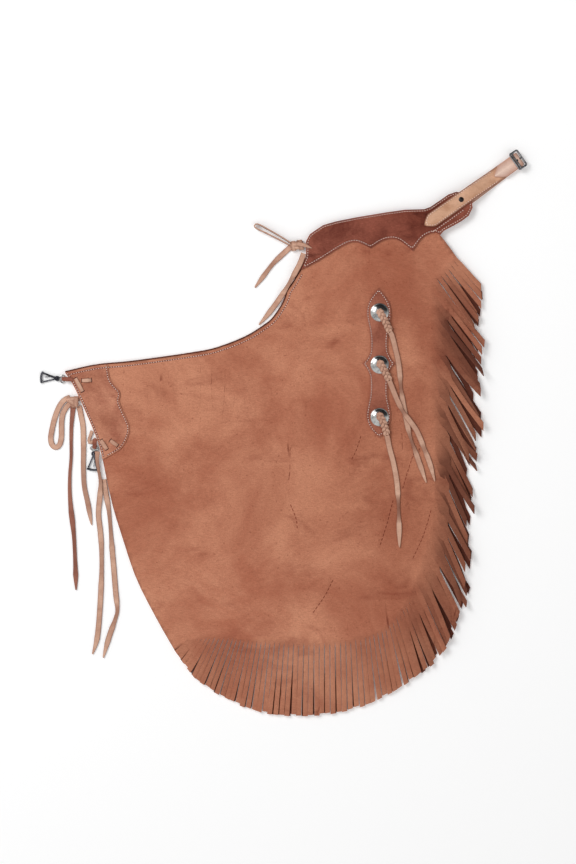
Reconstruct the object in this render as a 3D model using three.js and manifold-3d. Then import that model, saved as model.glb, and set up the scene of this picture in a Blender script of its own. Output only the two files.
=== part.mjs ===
import * as THREE from 'three';
import { mergeVertices } from 'three/addons/utils/BufferGeometryUtils.js';
import Module from 'manifold-3d';

// Chink chaps folded in half and lying flat: the outside of one leg faces up and the other
// leg lies mirrored beneath it, outside down. Millimetres, +Z up, +X towards the back belt,
// +Y towards the waist. Plan tables hold shares: u of legWidth, v of legLength.

// Leather goods
const legWidth = 725;
const legLength = 920;
const legLeather = 2.2;
const yokeLeather = 2.2;
const patchLeather = 1.8;
const strapLeather = 2.6;
const strapWidth = 25.4;
const laceWidth = 9.5;
const laceThickness = 2;
const fringeWidth = 10;
const fringeSlit = 1;
const fringeUneven = 0.014;
const hangerLeather = 1.3;
const hangerWidth = 7.6;
const braidWidth = 11;
const braidThickness = 6;
const gap = 0.3;
const drapeSlope = 0.045;

// Metal fittings
const conchoDiameter = 31.75;
const conchoHeight = 4.6;
const conchoRim = 0.9;
const buckleWidth = 32.2;
const buckleLength = 17.1;
const buckleBar = 2.6;
const centreBar = 2.2;
const eyeWall = 1.2;
const tongueWidth = 2.4;
const tongueThickness = 1.3;
const tipReach = 50;
const billetReach = 150;
const snapLength = 31;
const snapWidth = 21;
const snapThickness = 5;
const snapBar = 3.2;
const snapHub = 3.6;
const snapPin = 1.3;
const gateThickness = 2.4;
const gateWidth = 2.6;
const leafThickness = 0.9;
const eyeHole = 5;
const eyeBar = 2.2;
const eyeThickness = 2.2;
const eyeBottom = 2;
const rivetDiameter = 9;
const rivetAlong = -122;

const wasm = await Module();
wasm.setup();

// Plan outlines, each point [u, v]
const crotchCurve = [
  [0.568, 0.848], [0.551, 0.825], [0.536, 0.808], [0.527, 0.787], [0.502, 0.757], [0.478, 0.741],
  [0.432, 0.719], [0.362, 0.698], [0.304, 0.689], [0.227, 0.68], [0.15, 0.672], [0.072, 0.666],
  [-0.002, 0.653],
];
const thighCurve = [[-0.002, 0.653], [0.017, 0.631], [0.046, 0.582], [0.077, 0.523], [0.089, 0.488]];
const shinCurve = [
  [0.089, 0.488], [0.111, 0.405], [0.138, 0.335], [0.171, 0.259], [0.22, 0.183], [0.262, 0.125],
];
const waistCurve = [
  [0.568, 0.848], [0.58, 0.875], [0.58, 0.903], [0.589, 0.916], [0.621, 0.933], [0.652, 0.94],
  [0.703, 0.948], [0.773, 0.957], [0.819, 0.962], [0.865, 0.963], [0.879, 0.967], [0.901, 0.979],
  [0.923, 0.991], [0.942, 0.996], [0.961, 0.993], [0.978, 0.981], [0.981, 0.966], [0.972, 0.951],
  [0.957, 0.942], [0.935, 0.932], [0.913, 0.923], [0.903, 0.914],
];
const backCurve = [[0.903, 0.914], [0.923, 0.894], [0.941, 0.874]];
const scallops = [
  [[0.903, 0.914], [0.891, 0.919], [0.87, 0.914], [0.855, 0.904], [0.837, 0.884]],
  [[0.837, 0.884], [0.821, 0.894], [0.804, 0.904], [0.786, 0.907], [0.763, 0.903], [0.735, 0.889]],
  [[0.735, 0.889], [0.713, 0.898], [0.698, 0.901], [0.68, 0.898], [0.652, 0.886], [0.61, 0.865],
    [0.568, 0.848]],
];
const cornerPatchTop = [[-0.002, 0.653], [0.072, 0.666], [0.101, 0.668]];
const cornerPatchEdge = [
  [[0.101, 0.668], [0.103, 0.656], [0.109, 0.637], [0.129, 0.619]],
  [[0.129, 0.619], [0.132, 0.61], [0.129, 0.598], [0.138, 0.579], [0.15, 0.559], [0.154, 0.544],
    [0.147, 0.525], [0.133, 0.508], [0.109, 0.496], [0.089, 0.488]],
];
const conchoPatchSides = [
  [[0.755, 0.813], [0.739, 0.799], [0.727, 0.781], [0.725, 0.759], [0.732, 0.734], [0.735, 0.71],
    [0.732, 0.686], [0.715, 0.67]],
  [[0.715, 0.67], [0.731, 0.652], [0.734, 0.627], [0.732, 0.605], [0.725, 0.578], [0.727, 0.558],
    [0.739, 0.541], [0.756, 0.529]],
  [[0.756, 0.529], [0.771, 0.54], [0.782, 0.557], [0.784, 0.578], [0.777, 0.604], [0.776, 0.627],
    [0.779, 0.652], [0.794, 0.67]],
  [[0.794, 0.67], [0.779, 0.688], [0.776, 0.71], [0.779, 0.734], [0.785, 0.757], [0.783, 0.78],
    [0.771, 0.798], [0.755, 0.813]],
];
const conchoCentres = [[0.757, 0.767], [0.757, 0.668], [0.757, 0.568]];

// Fringe, from the back of the knee round the bottom to the shin. Each row: the end of a cut
// [rootU, rootV] and the tip beside it [tipU, tipV].
const fringeRows = [
  [0.941, 0.874, 1.0, 0.826],
  [0.92, 0.85, 1.003, 0.768],
  [0.886, 0.827, 0.995, 0.707],
  [0.884, 0.734, 0.993, 0.597],
  [0.886, 0.639, 0.988, 0.5],
  [0.889, 0.544, 0.973, 0.413],
  [0.889, 0.449, 0.978, 0.316],
  [0.889, 0.376, 0.971, 0.251],
  [0.865, 0.302, 0.942, 0.179],
  [0.85, 0.262, 0.92, 0.135],
  [0.826, 0.221, 0.886, 0.101],
  [0.8, 0.19, 0.843, 0.074],
  [0.768, 0.165, 0.797, 0.049],
  [0.722, 0.15, 0.734, 0.024],
  [0.674, 0.143, 0.679, 0.01],
  [0.614, 0.139, 0.614, 0.002],
  [0.551, 0.139, 0.543, 0.0],
  [0.493, 0.143, 0.473, 0.006],
  [0.444, 0.144, 0.411, 0.024],
  [0.401, 0.148, 0.355, 0.048],
  [0.362, 0.15, 0.314, 0.07],
  [0.329, 0.148, 0.285, 0.099],
  [0.295, 0.143, 0.262, 0.125],
];
// Where strips lie drawn together and leave gaps between the bunches: share of the fringe at
// the start and the end of each bunch, how far its tips close up, and their length.
const fringeBunches = [
  { from: 0, to: 0.032, close: 0.08, length: 1.02 },
  { from: 0.032, to: 0.066, close: 0.3, length: 0.92 },
  { from: 0.066, to: 0.105, close: 0.26, length: 1.04 },
  { from: 0.105, to: 0.142, close: 0.3, length: 0.97 },
  { from: 0.142, to: 0.178, close: 0.22, length: 1.04 },
  { from: 0.178, to: 0.222, close: 0.26, length: 0.95 },
  { from: 0.222, to: 0.262, close: 0.18, length: 1.05 },
  { from: 0.262, to: 0.312, close: 0.2, length: 0.97 },
  { from: 0.312, to: 0.36, close: 0.1, length: 1.02 },
];

// The leather drapes on a triangulated grid, so that every layer lies parallel to the next.
const drapeColumns = [-0.03, 0.167, 0.33, 0.5, 0.566, 0.705, 0.806, 0.905, 1.03];
const drapeRows = [-0.02, 0.4, 0.478, 0.52, 0.676, 0.822, 0.91, 1.02];

// The buckle strap runs from its pointed end on the yoke to the buckle
const strapStart = [0.865, 0.932];
const strapBuckle = [1.091, 1.057];
const billetStart = [0.885, 0.935];

// Knots of the ties, and the braids over the conchos: [x, y] from a concho's centre in concho
// diameters, and how far up from the patch to the top of the concho
const waistKnot = [0.5575, 0.8944];
const thighKnot = [0.018, 0.5978];
const braidRoutes = [
  [[-0.067, 0.112, 1], [0.065, -0.109, 1], [0.27, -0.44, 0.66], [0.43, -0.77, 0.03], [0.562, -1.073, 0]],
  [[-0.045, 0.2, 1], [0.087, -0.05, 1], [0.263, -0.352, 0.8], [0.408, -0.63, 0.03], [0.518, -0.875, 0]],
  [[-0.077, 0.23, 1], [0.055, -0.018, 1], [0.21, -0.349, 0.86], [0.32, -0.677, 0.03], [0.386, -0.982, 0]],
];

const centreShare = [0.5255, 0.5378];

function place([u, v]) {
  return [(u - centreShare[0]) * legWidth, (v - centreShare[1]) * legLength];
}

function curve(table, steps) {
  const points = table.map((row) => new THREE.Vector2(...place(row)));
  return new THREE.SplineCurve(points).getPoints(steps).map((p) => [p.x, p.y]);
}

function joined(...runs) {
  return runs.flatMap((run, i) => (i === 0 ? run : run.slice(1)));
}

// Fringe teeth, tip by tip, from the shin to the back
function fringeTeeth() {
  const cuts = fringeRows.map(([a, b, c, d]) => ({ root: place([a, b]), tip: place([c, d]) }));
  const along = [0];
  for (let i = 1; i < cuts.length; i += 1) {
    const [sx, sy] = cuts[i].tip.map((value, k) => value - cuts[i - 1].tip[k]);
    const [dx, dy] = cuts[i].tip.map((value, k) => value - cuts[i].root[k]);
    along.push(along[i - 1] + Math.abs(sx * dy - sy * dx) / Math.hypot(dx, dy));
  }
  const total = along[along.length - 1];
  const count = Math.round(total / fringeWidth);
  const between = (a, b, t) => [a[0] + (b[0] - a[0]) * t, a[1] + (b[1] - a[1]) * t];
  const at = (share) => {
    const s = Math.min(Math.max(share, 0), 1) * total;
    let i = 1;
    while (i < cuts.length - 1 && along[i] < s) i += 1;
    const t = (s - along[i - 1]) / (along[i] - along[i - 1]);
    return {
      root: between(cuts[i - 1].root, cuts[i].root, t),
      tip: between(cuts[i - 1].tip, cuts[i].tip, t),
    };
  };
  const gathered = (share) => {
    const bunch = fringeBunches.find((b) => share >= b.from && share <= b.to);
    if (!bunch) return { share, close: 0, length: 1 };
    const middle = (bunch.from + bunch.to) / 2;
    return { ...bunch, share: middle + (share - middle) * (1 - bunch.close) };
  };
  // The cuts end a little unevenly, as they are made by hand
  const cutEnd = (i) => {
    const { root, tip } = at(i / count);
    return between(root, tip, fringeUneven * ((i % 2) + 0.4 * Math.sin(i * 3.7)));
  };
  const teeth = [];
  for (let i = 0; i < count; i += 1) {
    const first = i / count;
    const last = (i + 1) / count;
    const middle = gathered((first + last) / 2);
    const half = (0.5 / count) * (1 - middle.close);
    const rootA = cutEnd(i);
    const rootB = cutEnd(i + 1);
    const endA = at(middle.share - half).tip;
    const endB = at(middle.share + half).tip;
    const width = Math.hypot(endB[0] - endA[0], endB[1] - endA[1]);
    const inset = fringeSlit / 2 / width;
    const trim = middle.length * (1 + 0.012 * Math.sin(i * 2.4) + 0.01 * Math.sin(i * 5.1));
    teeth.push([
      rootA,
      between(rootA, between(endA, endB, inset), trim),
      between(rootB, between(endB, endA, inset), trim),
    ]);
  }
  return [...teeth, [cutEnd(count)]];
}

const fringe = fringeTeeth();
const legOutline = joined(
  curve(crotchCurve, 24),
  curve(thighCurve, 6),
  curve(shinCurve, 10),
  fringe.slice().reverse().flatMap((tooth) => tooth.slice().reverse()),
  curve(backCurve, 2).reverse(),
  waistCurve.map(place).reverse(),
);
const yokeOutline = joined(waistCurve.map(place), ...scallops.map((run) => curve(run, 7))).slice(0, -1);
const cornerPatchOutline = joined(
  curve(cornerPatchTop, 4),
  ...cornerPatchEdge.map((run, i) => curve(run, i === 0 ? 5 : 12)),
  curve(thighCurve, 6).reverse(),
).slice(0, -1);
const conchoPatchOutline = joined(...conchoPatchSides.map((run) => curve(run, 8))).slice(0, -1);

// Straight strap in plan: along the strap from a start point, pointed or square at its ends
const strapAngle = Math.atan2(
  place(strapBuckle)[1] - place(strapStart)[1],
  place(strapBuckle)[0] - place(strapStart)[0],
);
const strapLength = Math.hypot(
  place(strapBuckle)[1] - place(strapStart)[1],
  place(strapBuckle)[0] - place(strapStart)[0],
);

function onStrap(along, across, from = strapBuckle) {
  const [x, y] = place(from);
  return [
    x + along * Math.cos(strapAngle) - across * Math.sin(strapAngle),
    y + along * Math.sin(strapAngle) + across * Math.cos(strapAngle),
  ];
}

// Drape heights: the underside of the lower leg over what lies beneath it
const snap = (value) => Math.round(value * 100) / 100;
const columns = drapeColumns.map((u) => snap(place([u, 0])[0]));
const rows = drapeRows.map((v) => snap(place([0, v])[1]));
const lift = columns.map(() => rows.map(() => 0));

function tidyRing(ring) {
  return ring.filter(([x, y], i) => {
    const [px, py] = ring[(i + ring.length - 1) % ring.length];
    return Math.abs(x - px) > 0.005 || Math.abs(y - py) > 0.005;
  });
}

// Splits a simple polygon along the line a x + b y = c into its parts on both sides
function splitRing(ring, a, b, c) {
  const side = ring.map(([x, y]) => {
    const s = a * x + b * y - c;
    return Math.abs(s) < 0.08 ? 0 : s;
  });
  const walk = [];
  ring.forEach(([x, y], i) => {
    const j = (i + 1) % ring.length;
    walk.push({ point: [x, y], front: side[i] >= 0 });
    if (side[i] >= 0 === side[j] >= 0) return;
    const [first, last] = x < ring[j][0] || (x === ring[j][0] && y < ring[j][1]) ? [i, j] : [j, i];
    const t = side[first] / (side[first] - side[last]);
    const point = [
      snap(ring[first][0] + (ring[last][0] - ring[first][0]) * t),
      snap(ring[first][1] + (ring[last][1] - ring[first][1]) * t),
    ];
    walk.push({ point, crossing: true });
  });
  const crossings = walk.map((w, i) => ({ ...w, i })).filter((w) => w.crossing);
  if (crossings.length === 0) return [ring];
  crossings.sort((p, q) => a * (p.point[1] - q.point[1]) - b * (p.point[0] - q.point[0]));
  const partner = new Map();
  for (let k = 0; k + 1 < crossings.length; k += 2) {
    partner.set(crossings[k].i, crossings[k + 1].i);
    partner.set(crossings[k + 1].i, crossings[k].i);
  }
  const used = new Set();
  const parts = [];
  for (const { i: start } of crossings) {
    if (used.has(start)) continue;
    const part = [];
    let k = start;
    do {
      used.add(k);
      part.push(walk[k].point);
      k = (k + 1) % walk.length;
      while (!walk[k].crossing) {
        part.push(walk[k].point);
        k = (k + 1) % walk.length;
      }
      part.push(walk[k].point);
      k = partner.get(k);
    } while (k !== start);
    parts.push(tidyRing(part));
  }
  return parts.filter((part) => part.length > 2);
}

function middle(ring) {
  const area = THREE.ShapeUtils.area(ring.map(([x, y]) => ({ x, y })));
  let cx = 0;
  let cy = 0;
  ring.forEach(([x, y], i) => {
    const [qx, qy] = ring[(i + 1) % ring.length];
    cx += (x + qx) * (x * qy - qx * y);
    cy += (y + qy) * (x * qy - qx * y);
  });
  return [cx / (6 * area), cy / (6 * area), area];
}

// The parts of an outline in each triangle of the drape grid
function drapeParts(outline) {
  let parts = [tidyRing(outline.map(([x, y]) => [snap(x), snap(y)]))];
  for (const x of columns) parts = parts.flatMap((ring) => splitRing(ring, 1, 0, x));
  for (const y of rows) parts = parts.flatMap((ring) => splitRing(ring, 0, 1, y));
  const cell = (ring) => {
    const [x, y] = middle(ring);
    const i = Math.max(0, columns.findLastIndex((c) => c <= x));
    const j = Math.max(0, rows.findLastIndex((r) => r <= y));
    return [i, j];
  };
  const triangles = [];
  for (const ring of parts) {
    const [i, j] = cell(ring);
    const dx = columns[i + 1] - columns[i];
    const dy = rows[j + 1] - rows[j];
    const length = Math.hypot(dx, dy);
    const a = -dy / length;
    const b = dx / length;
    const c = a * columns[i] + b * rows[j];
    for (const part of splitRing(ring, a, b, c)) {
      const [x, y, area] = middle(part);
      if (Math.abs(area) < 1e-4) continue;
      const upper = a * x + b * y > c;
      triangles.push({ ring: part, i, j, upper });
    }
  }
  return triangles;
}

function cornersOf({ i, j, upper }) {
  return upper ? [[i, j], [i + 1, j + 1], [i, j + 1]] : [[i, j], [i + 1, j], [i + 1, j + 1]];
}

function liftAt(part, x, y) {
  const { i, j, upper } = part;
  const tx = (x - columns[i]) / (columns[i + 1] - columns[i]);
  const ty = (y - rows[j]) / (rows[j + 1] - rows[j]);
  const low = lift[i][j];
  const high = lift[i + 1][j + 1];
  if (upper) return low + (lift[i][j + 1] - low) * (ty - tx) + (high - low) * tx;
  return low + (lift[i + 1][j] - low) * (tx - ty) + (high - low) * ty;
}

function carry(outline, height) {
  const held = new Map();
  for (const part of drapeParts(outline)) {
    for (const [i, j] of cornersOf(part)) held.set(`${i},${j}`, [i, j]);
  }
  const nodes = [...held.values()];
  for (let i = 0; i < columns.length; i += 1) {
    for (let j = 0; j < rows.length; j += 1) {
      for (const [hi, hj] of nodes) {
        const far = Math.hypot(columns[i] - columns[hi], rows[j] - rows[hj]);
        lift[i][j] = Math.max(lift[i][j], height - drapeSlope * far);
      }
    }
  }
}

const yokeLift = yokeLeather + gap;
const strapLift = strapLeather + gap + yokeLift;
const cornerLift = patchLeather + gap;
const conchoLift = conchoHeight + gap + patchLeather + gap;
const billetFootprint = [
  onStrap(0, strapWidth / 2, billetStart),
  onStrap(0, -strapWidth / 2, billetStart),
  onStrap(72, -strapWidth / 2, billetStart),
  onStrap(72, strapWidth / 2, billetStart),
];
carry(yokeOutline, yokeLift);
carry(billetFootprint, strapLift);
carry(cornerPatchOutline, cornerLift);
carry(conchoPatchOutline, conchoLift);

// Heights of the layers over the lower leg's underside
const upperLeg = legLeather + gap;
const upperFace = upperLeg + legLeather;
const onUpper = upperFace + gap;
const strapUnderside = strapLift + onUpper + yokeLeather + gap;
const strapAtBuckle = strapLeather + gap;

// A sheet of leather on the drape, its underside raised by `level`
function sheet(outline, level, thickness) {
  const points = [];
  const seen = new Map();
  const faces = [];
  for (const part of drapeParts(outline)) {
    const ring = part.ring.map(([x, y]) => new THREE.Vector2(x, y));
    const flip = THREE.ShapeUtils.area(ring) < 0;
    if (flip) ring.reverse();
    const ids = ring.map((p) => {
      const key = `${p.x.toFixed(2)},${p.y.toFixed(2)}`;
      if (!seen.has(key)) {
        seen.set(key, points.length);
        points.push([p.x, p.y, liftAt(part, p.x, p.y) + level]);
      }
      return seen.get(key);
    });
    for (const [a, b, c] of THREE.ShapeUtils.triangulateShape(ring, [])) {
      faces.push([ids[a], ids[b], ids[c]]);
    }
  }
  const edges = new Set(faces.flatMap(([a, b, c]) => [`${a},${b}`, `${b},${c}`, `${c},${a}`]));
  const rise = points.length;
  const all = [...points, ...points.map(([x, y, z]) => [x, y, z + thickness])];
  const index = [];
  for (const [a, b, c] of faces) {
    index.push(a, c, b, a + rise, b + rise, c + rise);
  }
  for (const edge of edges) {
    const [a, b] = edge.split(',').map(Number);
    if (!edges.has(`${b},${a}`)) index.push(a, b, b + rise, a, b + rise, a + rise);
  }
  return new THREE.BufferGeometry()
    .setAttribute('position', new THREE.Float32BufferAttribute(all.flat(), 3))
    .setIndex(index);
}

// Joins and cuts
function solid(geometry) {
  const bare = geometry.clone();
  for (const name of ['normal', 'uv']) {
    if (bare.hasAttribute(name)) bare.deleteAttribute(name);
  }
  const merged = mergeVertices(bare, 1e-3);
  return new wasm.Manifold(
    new wasm.Mesh({
      numProp: 3,
      vertProperties: merged.attributes.position.array,
      triVerts: new Uint32Array(merged.index.array),
    }),
  );
}

function shell(manifold) {
  const mesh = manifold.getMesh();
  return new THREE.BufferGeometry()
    .setAttribute('position', new THREE.Float32BufferAttribute(mesh.vertProperties, 3))
    .setIndex([...mesh.triVerts]);
}

function union(...geometries) {
  return shell(geometries.map(solid).reduce((a, b) => a.add(b)));
}

function cut(geometry, ...tools) {
  return shell(tools.map(solid).reduce((a, b) => a.subtract(b), solid(geometry)));
}

function common(a, b) {
  return shell(solid(a).intersect(solid(b)));
}

function plate(points, bottom, thickness, holes = []) {
  const shape = new THREE.Shape(points.map(([x, y]) => new THREE.Vector2(x, y)));
  for (const hole of holes) shape.holes.push(hole);
  const settings = { depth: thickness, bevelEnabled: false, curveSegments: 6 };
  return new THREE.ExtrudeGeometry(shape, settings).translate(0, 0, bottom);
}

function roundHole(x, y, radius) {
  const hole = new THREE.Path();
  hole.absarc(x, y, radius, 0, Math.PI * 2, true);
  return hole;
}

function bar(length, width, height, x, y, z) {
  return new THREE.BoxGeometry(length, width, height).translate(x, y, z);
}

function pin(radius, length, sides = 12) {
  return new THREE.CylinderGeometry(radius, radius, length, sides);
}

// Leather strap seen from its side: a centre line of [along, height] given its thickness
function ribbonProfile(line, thickness) {
  const left = [];
  const right = [];
  line.forEach(([x, z], i) => {
    const [ax, az] = line[Math.max(0, i - 1)];
    const [bx, bz] = line[Math.min(line.length - 1, i + 1)];
    const length = Math.hypot(bx - ax, bz - az);
    const nx = (-(bz - az) / length) * (thickness / 2);
    const nz = ((bx - ax) / length) * (thickness / 2);
    left.push([x + nx, z + nz]);
    right.push([x - nx, z - nz]);
  });
  return [...left, ...right.reverse()];
}

// Turns a side view (along, height) into a strap of its width about the strap's axis
function strapBody(profile, width, holes = []) {
  const shape = new THREE.Shape(profile.map(([x, z]) => new THREE.Vector2(x, z)));
  for (const hole of holes) shape.holes.push(hole);
  return new THREE.ExtrudeGeometry(shape, { depth: width, bevelEnabled: false, curveSegments: 6 })
    .rotateX(Math.PI / 2)
    .translate(0, width / 2, 0);
}

function toStrap(geometry) {
  const [x, y] = place(strapBuckle);
  return geometry.rotateZ(strapAngle).translate(x, y, 0);
}

// Flat lace along chosen points: the section keeps its broad side level
class LacePath extends THREE.CatmullRomCurve3 {
  computeFrenetFrames(segments) {
    const tangents = [];
    const normals = [];
    const binormals = [];
    const up = new THREE.Vector3(0, 0, 1);
    for (let i = 0; i <= segments; i += 1) {
      const tangent = this.getTangentAt(i / segments);
      const across = new THREE.Vector3().crossVectors(up, tangent).normalize();
      tangents.push(tangent);
      binormals.push(across);
      normals.push(new THREE.Vector3().crossVectors(across, tangent));
    }
    return { tangents, normals, binormals };
  }
}

function laceSection(width, thickness) {
  const w = width / 2;
  const t = thickness / 2;
  const corner = Math.min(w, t) * 0.6;
  const points = [
    [t, -w + corner], [t, w - corner], [t - corner, w], [-t + corner, w],
    [-t, w - corner], [-t, -w + corner], [-t + corner, -w], [t - corner, -w],
  ];
  return new THREE.Shape(points.map(([x, y]) => new THREE.Vector2(x, y)));
}

function lace(points, steps, width = laceWidth, thickness = laceThickness) {
  const path = new LacePath(points.map((p) => new THREE.Vector3(...p)));
  return new THREE.ExtrudeGeometry(laceSection(width, thickness), {
    steps,
    extrudePath: path,
    bevelEnabled: false,
  });
}

// Colours and finishes
const finishes = {
  leg: { color: 0xb27158, roughness: 0.9, metalness: 0 },
  legBelow: { color: 0xa5664e, roughness: 0.9, metalness: 0 },
  yoke: { color: 0x83483a, roughness: 0.95, metalness: 0 },
  patch: { color: 0xaf7058, roughness: 0.92, metalness: 0 },
  conchoPatch: { color: 0x9a5c49, roughness: 0.92, metalness: 0 },
  strap: { color: 0xd0a48c, roughness: 0.6, metalness: 0 },
  lace: { color: 0xc19179, roughness: 0.75, metalness: 0 },
  nickel: { color: 0xc8c8cc, roughness: 0.22, metalness: 1 },
  gunmetal: { color: 0x55575c, roughness: 0.3, metalness: 1 },
};

const chinks = new THREE.Group();

function add(name, geometry, finish) {
  const flat = geometry.index ? geometry.toNonIndexed() : geometry;
  flat.computeVertexNormals();
  const mesh = new THREE.Mesh(flat, new THREE.MeshStandardMaterial(finishes[finish]));
  mesh.name = name;
  chinks.add(mesh);
}

// Legs, yokes and patches: those of the lower leg hang under it, their outsides down
const under = (thickness) => -gap - thickness;
add('upper_leg', sheet(legOutline, upperLeg, legLeather), 'leg');
add('lower_leg', sheet(legOutline, 0, legLeather), 'legBelow');
add('upper_yoke', sheet(yokeOutline, onUpper, yokeLeather), 'yoke');
add('lower_yoke', sheet(yokeOutline, under(yokeLeather), yokeLeather), 'yoke');
add('upper_corner_patch', sheet(cornerPatchOutline, onUpper, patchLeather), 'patch');
add('lower_corner_patch', sheet(cornerPatchOutline, under(patchLeather), patchLeather), 'patch');
add('upper_concho_patch', sheet(conchoPatchOutline, onUpper, patchLeather), 'conchoPatch');
add('lower_concho_patch', sheet(conchoPatchOutline, under(patchLeather), patchLeather), 'conchoPatch');

// A round piece from its profile of [radius, height], its back at height 0
function turned(profile) {
  return new THREE.LatheGeometry(profile.map(([x, y]) => new THREE.Vector2(x, y)), 16)
    .rotateX(Math.PI / 2);
}

// Conchos: low domes with a flat back
function concho() {
  const radius = conchoDiameter / 2;
  return turned([
    [0, 0], [radius, 0], [radius, conchoRim], [radius * 0.8, conchoHeight * 0.5],
    [radius * 0.46, conchoHeight * 0.86], [0, conchoHeight],
  ]);
}

const conchoBack = conchoLift + onUpper + patchLeather + gap;
conchoCentres.forEach((centre, i) => {
  const [x, y] = place(centre);
  add(`upper_concho_${i + 1}`, concho().translate(x, y, conchoBack), 'nickel');
  add(`lower_concho_${i + 1}`, concho().rotateX(Math.PI).translate(x, y, conchoHeight), 'nickel');
});

// Buckle: the billet runs under the buckle strap, turns up round its folded end and back over
// it, under the near end of the frame. Side views hold [along from the centre bar, height].
const eyeRadius = centreBar / 2 + gap + eyeWall;
const turnRadius = eyeRadius + gap + strapLeather / 2;
const barHeight = strapLeather + gap + eyeRadius;
const strapTop = strapUnderside + strapLeather;
const strapMiddle = strapUnderside + strapLeather / 2;
const strapLow = strapAtBuckle + strapLeather / 2;
const tipMiddle = strapLow + strapLeather + gap;

function pointedEnd(length, width, point, far) {
  return [
    [-length, 0],
    [-length + point, -width / 2],
    [far, -width / 2],
    [far, width / 2],
    [-length + point, width / 2],
  ];
}

function washer(radius, hole) {
  const shape = new THREE.Shape();
  shape.absarc(0, 0, radius, 0, Math.PI * 2);
  shape.holes.push(roundHole(0, 0, hole));
  return shape;
}

function across(shape, width) {
  return new THREE.ExtrudeGeometry(shape, { depth: width, bevelEnabled: false, curveSegments: 8 })
    .rotateX(Math.PI / 2)
    .translate(0, width / 2, 0);
}

const strapRun = strapBody(
  ribbonProfile(
    [
      [-strapLength - 1, strapMiddle],
      [-strapLength * 0.53, strapMiddle],
      [-strapLength * 0.455, strapMiddle * 0.88],
      [-strapLength * 0.31, strapLow + 1.6],
      [-strapLength * 0.24, strapLow],
      [-strapLength * 0.06, strapLow],
      [-eyeRadius * 0.8, barHeight],
    ],
    strapLeather,
  ),
  strapWidth,
);
const strapPlan = plate(pointedEnd(strapLength, strapWidth, 15, eyeRadius), 0, strapTop + 2);
const boreRadius = centreBar / 2 + gap;
const eyeSection = across(washer(eyeRadius, boreRadius), strapWidth).translate(0, 0, barHeight);
const barBore = pin(boreRadius, strapWidth + 2, 16).translate(0, 0, barHeight);
const tongueSlot = bar(4 * eyeRadius, tongueWidth + 4 * gap, 4 * eyeRadius, 0, 0, barHeight);
add(
  'buckle_strap',
  toStrap(cut(union(common(strapRun, strapPlan), eyeSection), barBore, tongueSlot)),
  'strap',
);

function turn(steps) {
  return Array.from({ length: steps + 1 }, (_, i) => {
    const angle = -Math.PI / 2 + (Math.PI * i) / steps;
    return [turnRadius * Math.cos(angle), barHeight + turnRadius * Math.sin(angle)];
  });
}

const billetRun = strapBody(
  ribbonProfile(
    [
      [-billetReach, strapLeather / 2],
      [-4, strapLeather / 2],
      ...turn(8),
      [-9, barHeight + turnRadius - 1.1],
      [-22, tipMiddle + 0.5],
      [-tipReach - 1, tipMiddle],
    ],
    strapLeather,
  ),
  strapWidth,
);
const tipPlan = plate(pointedEnd(tipReach, strapWidth, 17, 2 * turnRadius), tipMiddle - 2, 12);
const lowerRun = bar(billetReach + 4 * turnRadius, strapWidth, strapLeather + 1, -billetReach / 2, 0, 1.6);
const turnPart = bar(4 * turnRadius, strapWidth, 4 * turnRadius, 2 * turnRadius - 4, 0, barHeight);
const billetHole = pin(1.8, 8, 10).rotateX(Math.PI / 2).translate(-1.5, 0, barHeight + turnRadius);
const tongueHole = bar(turnRadius, tongueWidth + 4 * gap, 6, turnRadius / 2 + 1.8, 0, barHeight + 3.2);
add(
  'billet_strap',
  toStrap(cut(common(billetRun, union(tipPlan, lowerRun, turnPart)), billetHole, tongueHole)),
  'strap',
);

const endReach = (buckleLength - buckleBar) / 2;
const sideReach = (buckleWidth - buckleBar) / 2;
const nearHeight = barHeight + turnRadius + strapLeather / 2 + gap + buckleBar / 2;
const farHeight = nearHeight - 3.2;
const frameTilt = Math.atan2(nearHeight - farHeight, 2 * endReach);
const frameLength = (2 * endReach) / Math.cos(frameTilt) + buckleBar;

function sideRail(y) {
  const postHeight = (nearHeight + farHeight) / 2 - barHeight + centreBar / 2;
  const rail = new THREE.BoxGeometry(frameLength, buckleBar, buckleBar)
    .rotateY(frameTilt)
    .translate(0, y, (nearHeight + farHeight) / 2);
  const postMiddle = barHeight - centreBar / 2 + postHeight / 2;
  const post = bar(buckleBar, buckleBar * 0.98, postHeight, 0, y, postMiddle);
  return union(rail, post);
}

const endBar = pin(buckleBar / 2, 2 * sideReach, 10);
add(
  'buckle_frame',
  toStrap(
    union(
      sideRail(sideReach),
      sideRail(-sideReach),
      endBar.clone().translate(-endReach, 0, nearHeight),
      endBar.clone().translate(-endReach + buckleBar + 0.5, 0, nearHeight),
      endBar.clone().translate(endReach, 0, farHeight),
      pin(centreBar / 2, 2 * sideReach, 12).translate(0, 0, barHeight),
    ),
  ),
  'nickel',
);

// Tongue, looped on the centre bar, its tip over the far end of the frame
const tongueRise = farHeight + buckleBar / 2 + gap + tongueThickness / 2 + 0.05;
const tongueArm = new THREE.Shape(
  ribbonProfile(
    [
      [boreRadius + 0.3, barHeight + 0.6],
      [endReach - 1.6, tongueRise],
      [endReach + 1.2, tongueRise],
    ],
    tongueThickness,
  ).map(([x, z]) => new THREE.Vector2(x, z)),
);
const tongueLoop = across(washer(eyeRadius - 0.1, boreRadius), tongueWidth).translate(0, 0, barHeight);
add(
  'buckle_tongue',
  toStrap(cut(union(across(tongueArm, tongueWidth), tongueLoop), barBore)),
  'nickel',
);

const rivetHead = turned([
  [0, 0], [rivetDiameter / 2, 0], [rivetDiameter * 0.42, 0.9], [rivetDiameter * 0.2, 1.4], [0, 1.5],
]);
add('strap_rivet', toStrap(rivetHead.translate(rivetAlong, 0, strapTop + gap)), 'gunmetal');

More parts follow.
